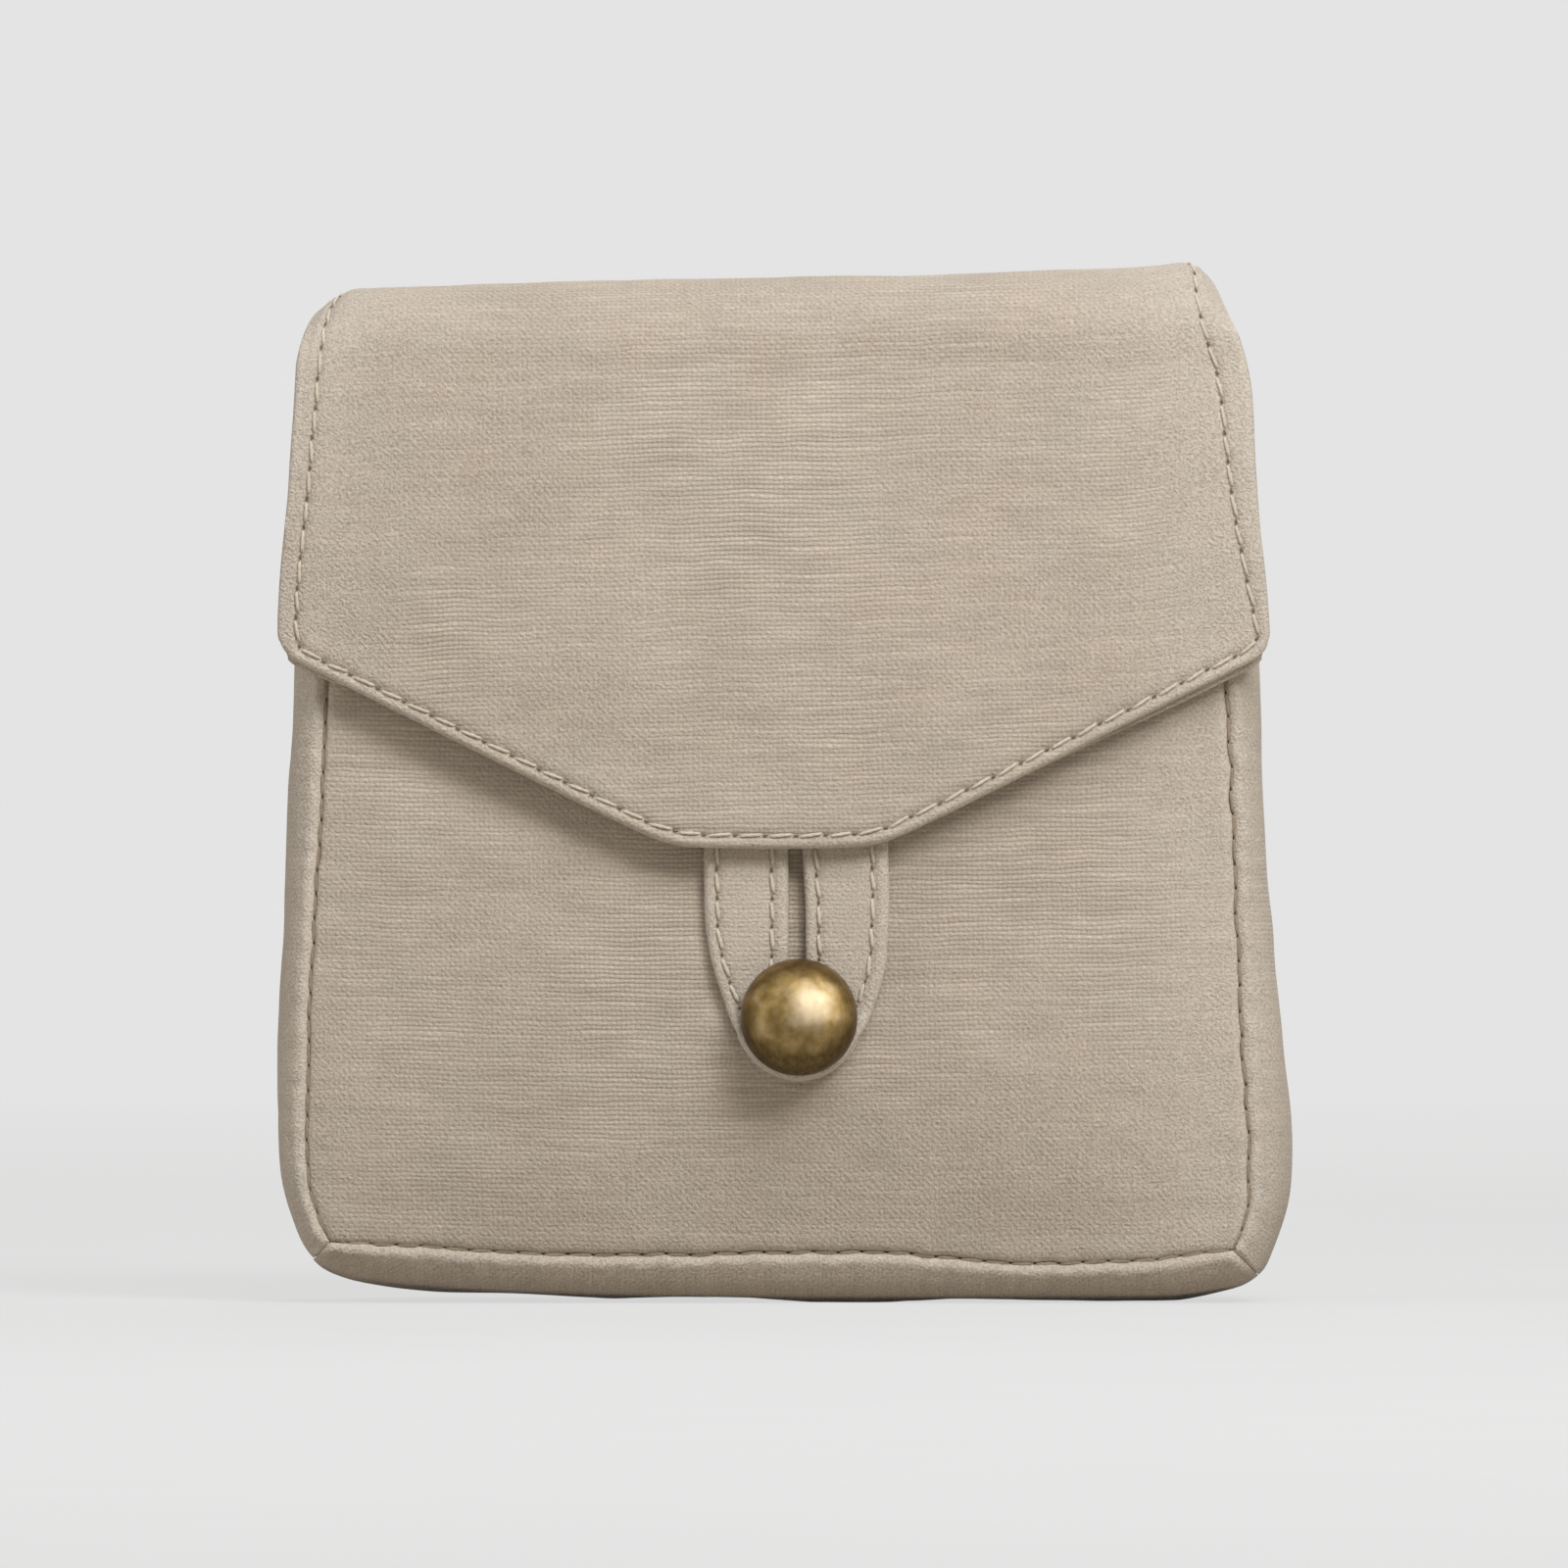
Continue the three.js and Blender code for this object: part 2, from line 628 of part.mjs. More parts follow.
function domeProfile() {
  const arc = (radius, height, from, to) => {
    const points = [];
    for (let i = 0; i <= 6; i++) {
      const angle = mix(from, to, i / 6);
      points.push([radius * Math.cos(angle), domeRim + height * Math.sin(angle)]);
    }
    return points;
  };
  const inner = buttonRadius - domeWall;
  const innerArc = arc(inner, domeHeight - domeRim - domeWall, Math.PI / 2, 0);
  const outerArc = arc(buttonRadius, domeHeight - domeRim, 0, Math.PI / 2);
  innerArc[0][0] = 0;
  outerArc[6][0] = 0;
  return [...innerArc, [inner, 0], [buttonRadius, 0], ...outerArc];
}

function buildButton() {
  addPart('button_dome', turned(domeProfile()), materials.brass);
  const plateRadius = buttonRadius - domeWall - plateClearance;
  const disc = [[0, 0], [plateRadius, 0], [plateRadius, plateThickness], [0, plateThickness]];
  addPart('button_back_plate', turned(disc), materials.brass);

  const eye = [];
  eye.push([-eyeRadius, buttonBackY], [-eyeRadius, mix(buttonBackY, eyeEnd, 0.5)]);
  for (let i = 0; i <= 6; i++) {
    const angle = Math.PI * (1 - i / 6);
    eye.push([eyeRadius * Math.cos(angle), eyeEnd + eyeRadius * Math.sin(angle)]);
  }
  eye.push([eyeRadius, mix(buttonBackY, eyeEnd, 0.5)], [eyeRadius, buttonBackY]);
  const eyeLine = eye.map(([z, y]) => new THREE.Vector3(buttonX, y, buttonZ + z));
  addPart('button_eye', tube(eyeLine, eyeWire, 20, 8), materials.brass);

  const patchY = wallAtButton + wallLayers.padding.to + layerGap;
  const patch = new THREE.CylinderGeometry(patchRadius, patchRadius, patchThickness, 20);
  patch.translate(buttonX, patchY + patchThickness / 2, buttonZ);
  addPart('button_patch', withThreadHoles(patch), materials.lining);

  const legEnd = patchY + patchThickness;
  const bend = pivotY + shankHalf / 2;
  const loop = [[-shankHalf, legEnd], [-shankHalf, mix(legEnd, bend, 0.5)], [-shankHalf, bend]];
  loop.push([-shankHalf / 2, pivotY], [shankHalf / 2, pivotY], [shankHalf, bend]);
  loop.push([shankHalf, mix(legEnd, bend, 0.5)], [shankHalf, legEnd]);
  const loopLine = loop.map(([x, y]) => new THREE.Vector3(buttonX + x, y, buttonZ));
  addPart('button_thread', tube(loopLine, shankThread, 18, 6), materials.thread);
}

// Rows of stitching, each as one unbroken thread that lies on the cloth
function seamStitch(y, top) {
  const points = [];
  const heights = [top, mix(top, seamCornerZ, 0.35), mix(top, seamCornerZ, 0.7)];
  heights.push(seamCornerZ + tuckHeight, seamCornerZ + tuckHeight / 2, seamCornerZ + 1);
  for (const z of heights) points.push([-seamHalf(z), z]);
  for (let i = -4; i <= 4; i++) {
    const x = (i / 4) * (seamCornerX - 1);
    points.push([x, seamHeight(x)]);
  }
  for (const z of heights.reverse()) points.push([seamHalf(z), z]);
  return tube(points.map(([x, z]) => new THREE.Vector3(x, y, z)), threadRadius, 44);
}

function cornerStitch(side) {
  const section = gussetSection(side, seamCornerX, seamCornerZ, mitre);
  const points = depthProfile(-threadLift).map(([y, share]) =>
    gussetPoint(section, -threadLift, y, share),
  );
  return tube(points.slice(1, -1), threadRadius, 16);
}

function acrossStitch(half, yAt, z, steps) {
  const points = [];
  for (let i = 0; i <= 8; i++) {
    const x = half * (-1 + i / 4);
    points.push(new THREE.Vector3(x, yAt(x, z), z));
  }
  return tube(points, threadRadius, steps);
}

const stitchColumn = 1 - stitchInset / flapHalfFold;
const foldThreadShift = foldThreadGap / foldRadius;

function flapFrontStitch() {
  const points = [];
  const side = (sign) => {
    const run = [];
    for (let angle = foldLine + foldThreadShift; angle < Math.PI / 2; angle += arcStep) {
      run.push(flapFoldPoint(sign * stitchColumn, angle, -threadLift));
    }
    const low = hemZ(flapHalfLow - stitchInset) + stitchInset;
    for (let i = 0; i <= 5; i++) {
      const z = mix(foldCentreZ, low, i / 5);
      const x = sign * (flapHalf(z) - stitchInset);
      run.push(new THREE.Vector3(x, flapFrontY(x, z, -threadLift), z));
    }
    return run;
  };
  points.push(...side(-1));
  for (let i = -6; i <= 6; i++) {
    const x = (i / 6) * (flapHalfLow - 3 * stitchInset);
    const z = hemZ(x) + stitchInset;
    points.push(new THREE.Vector3(x, flapFrontY(x, z, -threadLift), z));
  }
  points.push(...side(1).reverse());
  return tube(points, threadRadius, 64);
}

function flapTopStitch(sign) {
  const points = [];
  const column = sign * stitchColumn;
  const start = stitchInset / (hingeY - foldCentreY);
  for (let i = 0; i < topRows; i++) {
    points.push(flapTopPoint(column, mix(start, 1, i / topRows), -threadLift));
  }
  for (let angle = 0; angle < foldLine - foldThreadShift; angle += arcStep) {
    points.push(flapFoldPoint(column, angle, -threadLift));
  }
  return tube(points, threadRadius, 18);
}

function buildStitches() {
  const seamY = seamHalfDepth + threadLift;
  const stitches = {
    front_seam_stitch: seamStitch(-seamY, mouthHeight - stitchInset),
    back_seam_stitch: seamStitch(seamY, tailBottom - stitchInset),
    left_corner_stitch: cornerStitch(leftSide),
    right_corner_stitch: cornerStitch(rightSide),
    front_mouth_stitch: acrossStitch(
      seamHalfTop - 2 * stitchInset,
      (x, z) => -(seamHalfDepth + frontBelly(x, z) + threadLift),
      mouthHeight - 1.5 * stitchInset,
      16,
    ),
    flap_front_stitch: flapFrontStitch(),
    left_flap_top_stitch: flapTopStitch(-1),
    right_flap_top_stitch: flapTopStitch(1),
  };
  const onTail = () => hingeY + threadLift;
  const tailHalf = flapHalfBack - stitchInset;
  stitches.lower_tail_stitch = acrossStitch(tailHalf, onTail, tailBottom + stitchInset, 8);
  stitches.upper_tail_stitch = acrossStitch(tailHalf, onTail, backHeight - stitchInset, 8);
  for (const [name, thread] of Object.entries(stitches)) addPart(name, thread, materials.thread);
}

buildWalls();
buildMouthHems();
buildFlap();
buildTab();
buildButton();
buildStitches();

export default pouch;
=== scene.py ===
"""A small padded linen pouch with a pointed flap, a slit tab and a domed brass button.

Lengths are in millimetres until a mesh is made. The front faces -Y and the base is at z = 0.
"""

import math

import bpy
import numpy as np
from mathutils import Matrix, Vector, kdtree


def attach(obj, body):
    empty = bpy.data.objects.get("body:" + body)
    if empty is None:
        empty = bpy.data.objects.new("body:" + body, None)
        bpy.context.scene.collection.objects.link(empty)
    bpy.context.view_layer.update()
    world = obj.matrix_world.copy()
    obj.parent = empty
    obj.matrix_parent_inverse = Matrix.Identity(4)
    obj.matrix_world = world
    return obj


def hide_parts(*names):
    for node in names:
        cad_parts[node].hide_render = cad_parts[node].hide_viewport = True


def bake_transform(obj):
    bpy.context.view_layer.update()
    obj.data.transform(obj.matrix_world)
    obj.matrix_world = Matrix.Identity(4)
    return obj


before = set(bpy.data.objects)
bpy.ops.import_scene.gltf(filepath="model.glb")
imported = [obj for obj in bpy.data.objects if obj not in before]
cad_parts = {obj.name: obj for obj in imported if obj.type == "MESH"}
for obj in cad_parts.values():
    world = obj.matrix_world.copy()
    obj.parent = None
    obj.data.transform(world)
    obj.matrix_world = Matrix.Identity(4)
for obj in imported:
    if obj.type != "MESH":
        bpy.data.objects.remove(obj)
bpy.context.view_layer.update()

MM = 0.001

# Body, as the CAD has it
WALL_WIDE = 118.0
WALL_TALL = 115.0
SEAM_DEPTH = 16.0
FLAT_DEPTH = 10.0
CORNER_TURN = 12.0
MOUTH_Z = 122.0
MOUTH_EASE_Z = 93.0
BACK_Z = 125.0
FRONT_CROWN = 3.5
FRONT_CROWN_RAMP = 45.0
BACK_CROWN = 1.5
BACK_CROWN_RAMP = 22.0
CROWN_POWER = 2.6
SHELL = 2.1
SEAM_GROOVE = 0.55
CORNER_GROOVE = 0.62
LINING_DEPTH = 3.3
LINING_CLOTH = 0.5

# Flap. The fold's left and right ends are given on top and in front
FLAP_TOP = 132.8
FLAP_FALL = 3.5
FLAP_CREST_Y = 2.0
HINGE_Y = 17.1
FOLD_RADIUS = 10.0
FOLD_Y = -11.35
FOLD_Z = 122.8
FOLD_LEFT = (-59.6, -62.0)
FOLD_RIGHT = (57.4, 60.4)
FLAP_DEPTH = 2.4
FLAP_GAP = 1.2
TAB_ROOM = 1.3
HEM_LOW = 59.0
HEM_FLAT_HALF = 13.5
HEM_ROUND = 3.0
HEM_SLOPE = 0.5
HEM_STITCH = 1.75
FLAP_CLOTH = 1.6
FLAP_LINING = 0.6
FLAP_LINING_DEPTH = 1.75
FLAP_SEAM_Y = 12.0
TAIL_LOW = 113.0
TAIL_HALF = 56.5
TAIL_CLOTH = 0.8

# Tab and button. The insets of the tab's stitches are given at its left and at its right
BUTTON_X = 3.2
BUTTON_Z = 37.3
TAB_FRONT_Y = -21.6
TAB_CLOTH = 1.6
TAB_EDGE_INSET = (1.7, 2.2)
TAB_SLIT_INSET = (2.1, 1.75)
BUTTON_BACK_Y = -23.4
BUTTON_RADIUS = 7.5
RIM_HEIGHT = 0.95
DOME_HEIGHT = 5.45
BRASS_SHEET = 0.5
EYE_HALF = 1.75
EYE_MIDDLE_Y = -22.0
EYE_WIRE = 0.45
STRAND = 0.17

# Bends: the body before and after, and in metres where each begins and ends
FOLD = ("flap_top", "flap_front", (0, -0.0128, 0.1326), (0, -0.0212, 0.1242))
HINGE = ("pouch_body", "flap_top", (0, 0.0171, 0.1255), (0, 0.013, 0.131))
TAB_BEND = ("flap_front", "tab", (0.0032, -0.0212, 0.061), (0.0032, -0.0212, 0.0568))

# Stitches: radius, rise above the cloth, depth of their ends, and size of the painted shade in a
# needle hole
SEAM_STITCH = (0.27, 0.04, 0.1, 0)
CORNER_STITCH = (0.15, 0.12, 0.25, 0)
MOUTH_STITCH = (0.2, 0.12, 0.3, 0.2)
TAIL_STITCH = (0.2, 0.11, 0.32, 0.2)
FLAP_STITCH = (0.215, 0.05, 0.36, 0.17)
TAB_STITCH = (0.24, 0.05, 0.34, 0.16)

# Offsets from an edge where a sheet's points lie closer
EDGE = [0, 0.07, 0.24, 0.48, 0.78, 1.1, 1.5, 2.0, 2.6, 3.4, 4.4]
THIN_EDGE = [0, 0.04, 0.12, 0.25, 0.6, 1.4]

# Angles of the points round a gusset's edge, for its cloth and for its lining
FINE_TURN = [0, 0.016, 0.05, 0.1, 0.16, 0.22, 0.3, 0.38, 0.47, 0.57, 0.68, 0.8, 0.93, 1.07, 1.24]
PLAIN_TURN = [0, 0.05, 0.2, 0.5, 0.8, 1.2]

# Outlines seen from the front: x and z
LEFT_SEAM = [
    (-57.7, 8), (-58.9, 10.5), (-60.1, 14), (-60.6, 18), (-60.7, 22), (-60.5, 33), (-60.1, 44.6),
    (-59.3, 57), (-58.7, 67.5), (-58.1, 81), (-57.2, 95), (-56.3, 108), (-55.5, 122), (-55.3, 126),
]
RIGHT_SEAM = [
    (59.6, 7), (60.9, 10), (61.6, 14), (61.7, 19), (61.5, 23.8), (60.8, 33), (60.4, 43),
    (59.9, 55), (59.4, 67.5), (58.6, 81), (57.3, 95), (56.4, 108), (55.5, 122), (55.3, 126),
]
LOW_SEAM = [
    (-57.7, 8), (-50.3, 7.75), (-43.1, 7.2), (-25.5, 6.35), (-4.2, 6.5), (8.9, 6.7), (15.9, 6.5),
    (32.9, 5.2), (45, 5.5), (53, 6.2), (59.6, 7),
]
BODY_OUTLINE = [
    (-59.7, 126), (-59.9, 122), (-61.2, 105), (-62.4, 86), (-62.65, 76), (-63, 65),
    (-63.45, 52), (-63.9, 40), (-64.3, 33), (-64.5, 26), (-64.45, 21), (-64.1, 16.5),
    (-63.4, 13.3), (-62.3, 10.2), (-61.4, 8.1), (-60.2, 6.2), (-58.4, 4.5), (-55.2, 3.2),
    (-50.4, 2.3), (-46, 1.8), (-37, 1), (-24, 0.45), (-8, 0.1), (6, 0), (30, 0), (45, 0.05),
    (51.5, 0.25), (57, 1.1), (61, 2.2), (63.4, 4.1), (64.7, 7), (65.8, 10.5), (66.5, 13.6),
    (66.8, 17), (66.85, 21.5), (66.35, 29), (65.8, 37), (65, 44.5), (64.5, 50), (64.05, 55),
    (63.8, 62), (63.35, 71), (63, 83), (61.9, 97), (60.6, 109), (59.4, 122), (59.3, 126),
]
OUTLINE_SPREAD = 1.0082
VIEW_X = 1.27
LEFT_FLAP = [
    (-63.3, 84.35), (-63.9, 85.2), (-64.35, 86.5), (-64.4, 88.5), (-64.25, 92), (-63.95, 96),
    (-63.45, 101), (-63.05, 105), (-62.75, 110), (-62.35, 115.5), (-62.15, 119), (-62, 122.5),
    (-62, 127),
]
RIGHT_FLAP = [
    (63.45, 84.4), (63.95, 85.2), (64.25, 86.7), (64.2, 88.5), (63.95, 92), (63.6, 95.5),
    (63.15, 99.5), (62.85, 103), (62.55, 107), (62.3, 111), (62.1, 116), (61.8, 119.5),
    (61.25, 122.3), (60.4, 125.2), (59.9, 127),
]

# How much higher the flap's ridge is than in the CAD, at each x: it rises to the right
TOP_RISE = [
    (-62, -1.15), (-55, -0.85), (-45, -0.42), (-30, 0), (-20, 0.2), (-10, 0.38), (0, 0.5),
    (10, 0.62), (20, 0.9), (30, 1.25), (40, 1.5), (46, 1.75), (50, 2.15), (53, 2.5), (62, 2.6),
]

# How far the flap's topstitching runs from its side edges, at each z
LEFT_MARGIN = [(2.4, 86), (2.6, 105), (2.8, 113), (3, 120), (3.3, 126), (3.4, 131)]
RIGHT_MARGIN = [
    (1.5, 86), (2.2, 91.7), (2.9, 98.8), (3.4, 105.8), (3.8, 113), (4.2, 120), (4.2, 124.2),
    (4.8, 127), (5, 129.8), (4.3, 132.5), (3.3, 134.6),
]

# Section of a mouth binding: distance in from the wall's face, and height above its edge
BINDING = [
    (-0.16, -3.5), (-0.28, -3.3), (-0.3, -1.8), (-0.25, -0.2), (0.35, 0.85), (1.9, 1.45),
    (3.45, 0.85), (4.05, -0.2), (4.1, -1.8), (4.08, -3.3), (3.96, -3.5), (3.8, -3.3),
    (3.65, -1.8), (3.55, -0.3), (3.1, 0.45), (1.9, 0.85), (0.7, 0.45), (0.3, -0.3), (0.2, -1.8),
    (0.1, -3.3),
]

# Edges of the tab about the button: left leg, round tip and right leg
TAB_OUTER = [
    [(-12.1, 32.7), (-12.3, 22.3), (-12.25, 15), (-12, 10.5), (-11.5, 7.5)],
    [
        (-10.1, 3), (-8.8, -0.3), (-7.25, -3.2), (-4.7, -6.2), (-1.2, -7.85), (0.6, -7.9),
        (3.3, -7.2), (6.3, -4.6), (8.4, -1.6), (10.4, 3), (11.4, 7),
    ],
    [(11.65, 10.5), (11.8, 15), (11.7, 22.3), (11.6, 32.7)],
]
TAB_INNER = [
    [(-1.35, 32.7), (-1.35, 22.3), (-1.35, 14), (-1.4, 7)],
    [
        (-1.75, 4), (-2.45, 1.7), (-2.55, -0.6), (-1.6, -2.2), (0, -2.75), (1.6, -2.2),
        (2.55, -0.6), (2.3, 1.7), (1.35, 4), (0.95, 7),
    ],
    [(0.85, 14), (0.4, 22.3), (0.36, 32.7)],
]


# Small mathematics


def mix(a, b, share):
    return a + (b - a) * share


def smooth(share):
    share = np.clip(share, 0, 1)
    return share * share * (3 - 2 * share)


def bell(distance, width):
    return np.exp(-((distance / width) ** 2))


def joined(*coordinates):
    """Coordinates as the last axis of one array."""
    return np.stack(np.broadcast_arrays(*coordinates), axis=-1)


def unit(vectors):
    return vectors / np.linalg.norm(vectors, axis=-1, keepdims=True)


def through(points, steps=12):
    """A dense line along a smooth curve through the points."""
    p = np.array(points, float)
    p = np.vstack([2 * p[0] - p[1], p, 2 * p[-1] - p[-2]])
    line = []
    for a, b, c, d in zip(p, p[1:], p[2:], p[3:]):
        t1 = np.linalg.norm(b - a) ** 0.5
        t2 = t1 + np.linalg.norm(c - b) ** 0.5
        t3 = t2 + np.linalg.norm(d - c) ** 0.5
        t = np.linspace(t1, t2, steps, endpoint=False)[:, None]
        ab = mix(a, b, t / t1)
        bc = mix(b, c, (t - t1) / (t2 - t1))
        cd = mix(c, d, (t - t2) / (t3 - t2))
        abc = mix(ab, bc, t / t2)
        bcd = mix(bc, cd, (t - t1) / (t3 - t1))
        line.append(mix(abc, bcd, (t - t1) / (t2 - t1)))
    line.append(p[-2:-1])
    return np.vstack(line)


def reader(line, known):
    """A function that finds a line's other coordinate where the known one, 0 or 1, is given."""
    line = np.asarray(line)
    return lambda value: np.interp(value, line[:, known], line[:, 1 - known])


def lengths(line):
    """Distance along a line at each of its points."""
    return np.concatenate([[0], np.cumsum(np.linalg.norm(np.diff(line, axis=0), axis=1))])


def sampled(values, along, places):
    """Rows of values at distances along a line, read at the given places."""
    return np.stack([np.interp(places, along, column) for column in values.T], axis=1)


def resample(line, places):
    """Points of a line at the given distances along it."""
    return sampled(line, lengths(line), places)


def graded(length, near, step):
    """Shares of a length: the near offsets from both ends, with even steps between them."""
    near = np.array(near)
    count = max(2, round((length - 2 * near[-1]) / step))
    middle = np.linspace(near[-1], length - near[-1], count + 1)[1:-1]
    return np.concatenate([near, middle, length - near[::-1]]) / length


def lumps(a, b, size, seed):
    """Soft unevenness between about -1 and 1 over two coordinates, the same on each run."""
    rng = np.random.default_rng(seed)
    total = np.zeros(np.broadcast(a, b).shape)
    for _ in range(8):
        angle = rng.uniform(0, 2 * np.pi)
        wave = size * rng.uniform(0.7, 1.7)
        phase = rng.uniform(0, 2 * np.pi)
        total += np.sin(2 * np.pi * (a * np.cos(angle) + b * np.sin(angle)) / wave + phase)
    return total / 3.5


def pucker(along, off, pitch, size, reach):
    """Small gathers along a seam that die out away from it."""
    wave = 2 * np.pi * along / pitch
    return size * np.sin(wave + 1.4 * np.sin(wave / 3.7)) * np.exp(-off / reach)


# Mesh making


def grid_normals(grid):
    """Outward directions of a grid whose rows run down and whose columns run to the right."""
    normals = np.cross(np.gradient(grid, axis=0), np.gradient(grid, axis=1))
    return normals / np.maximum(np.linalg.norm(normals, axis=2, keepdims=True), 1e-9)


def run_along(grid, axis):
    """Distance along each column, axis 0, or each row, axis 1, of a grid of points."""
    steps = np.linalg.norm(np.diff(grid, axis=axis), axis=2)
    return np.cumsum(np.insert(steps, 0, 0, axis=axis), axis=axis)


def from_ends(run, axis):
    """Distance from the nearer end of each run."""
    return np.minimum(run, run.take([-1], axis) - run)


def numbers(*shape, start=0):
    """Point numbers in a grid of the given shape."""
    return start + np.arange(math.prod(shape)).reshape(shape)


def wrapped(index):
    """A grid of point numbers whose last column is its first again."""
    return np.concatenate([index, index[..., :1]], axis=-1)


def quads(index, turned_over=False):
    """Faces between neighbours in a grid of point numbers."""
    corners = [index[..., :-1, :-1], index[..., 1:, :-1], index[..., 1:, 1:], index[..., :-1, 1:]]
    if turned_over:
        corners = [corners[0], *corners[:0:-1]]
    return np.stack([corner.ravel() for corner in corners], axis=1).tolist()


def make_object(name, points, faces, materials, choice=None, uv=None, wear_and_light=None):
    """A smooth-shaded mesh object from points in millimetres."""
    mesh = bpy.data.meshes.new(name)
    mesh.from_pydata((np.asarray(points) * MM).tolist(), [], faces)
    for material in materials:
        mesh.materials.append(material)
    if choice is not None:
        mesh.polygons.foreach_set("material_index", choice)
    if uv is not None:
        corners = np.zeros(len(mesh.loops), np.int32)
        mesh.loops.foreach_get("vertex_index", corners)
        layer = mesh.uv_layers.new(name="cloth")
        layer.data.foreach_set("uv", uv[corners].astype(np.float32).ravel())
    if wear_and_light is not None:
        pale_share = mesh.attributes.new("wear_and_light", "FLOAT", "POINT")
        pale_share.data.foreach_set("value", wear_and_light.astype(np.float32))
    mesh.shade_smooth()
    made = bpy.data.objects.new(name, mesh)
    bpy.context.scene.collection.objects.link(made)
    return made


def dress(made, slot, *nodes, body="pouch_body", bend=None):
    """Lets a piece move with its body, or bakes its place where it crosses a bend, in place of its
    CAD nodes.
    """
    if bend:
        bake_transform(made)
    else:
        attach(made, body)
    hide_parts(*nodes)


def cloth(name, outer, thickness, materials, uv, lift=0.0, end_round=None, wear_and_light=0.0):
    """A closed sheet with rounded edges, whose outer face is a grid raised by lift.

    Its back has the last of the materials. end_round is how far the rounding of its first and
    last rows reaches, if not half the thickness. The last argument says where the cloth is
    painted paler besides its edges, partly as wear and partly as painted light.
    """
    rows, columns = outer.shape[:2]
    normals = grid_normals(outer)
    row_edge = from_ends(run_along(outer, 0), 0)
    column_edge = from_ends(run_along(outer, 1), 1)
    if end_round is None:
        end_round = thickness / 2
    from_edge = np.clip(np.minimum(row_edge / end_round, column_edge / (thickness / 2)), 0, 1)
    half = thickness / 2 * np.sqrt(1 - (1 - from_edge) ** 2)
    # Edges are painted paler: partly wear, partly a painted highlight along the rolled welt.
    pale_share = wear_and_light + 0.6 * bell(np.minimum(row_edge, column_edge) - 0.4, 0.7)
    front = outer + normals * (half - thickness / 2 + lift * from_edge)[..., None]
    back = outer - normals * (half + thickness / 2)[..., None]
    front_index = numbers(rows, columns)
    back_index = front_index.copy()
    back_index[1:-1, 1:-1] = numbers(rows - 2, columns - 2, start=rows * columns)

    def both(on_front, on_back):
        """Values at the front's points, and at the back's, which shares the front's rim."""
        width = on_front.shape[2]
        inside = on_back[1:-1, 1:-1].reshape(-1, width)
        return np.vstack([on_front.reshape(-1, width), inside])

    sides = quads(front_index), quads(back_index, True)
    choice = [0] * len(sides[0]) + [len(materials) - 1] * len(sides[1])
    return make_object(
        name, both(front, back), sides[0] + sides[1], materials, choice,
        uv=both(uv, uv), wear_and_light=both(pale_share[..., None], pale_share[..., None])[:, 0],
    )


def tubes(name, strands, material, uv=None):
    """Tubes with closed ends, each through rings of points along it."""
    points, faces = np.zeros((0, 3)), []
    for rings in strands:
        index = numbers(*rings.shape[:2], start=len(points))
        faces += quads(wrapped(index), True)
        faces += [index[0, ::-1].tolist(), index[-1].tolist()]
        points = np.vstack([points, rings.reshape(-1, 3)])
    return make_object(name, points, faces, [material], uv=uv)


def tube_rings(line, radius, sides):
    """Rings along a line that don't twist about it."""
    forward = unit(np.gradient(line, axis=0))
    angle = np.arange(sides)[:, None] * 2 * np.pi / sides
    side = np.cross(forward[0], [0.31, 0.2, 0.93])
    rings = []
    for centre, ahead in zip(line, forward):
        side = unit(side - ahead * (side @ ahead))
        other = np.cross(ahead, side)
        rings.append(centre + radius * (side * np.cos(angle) + other * np.sin(angle)))
    return np.array(rings)


# Materials


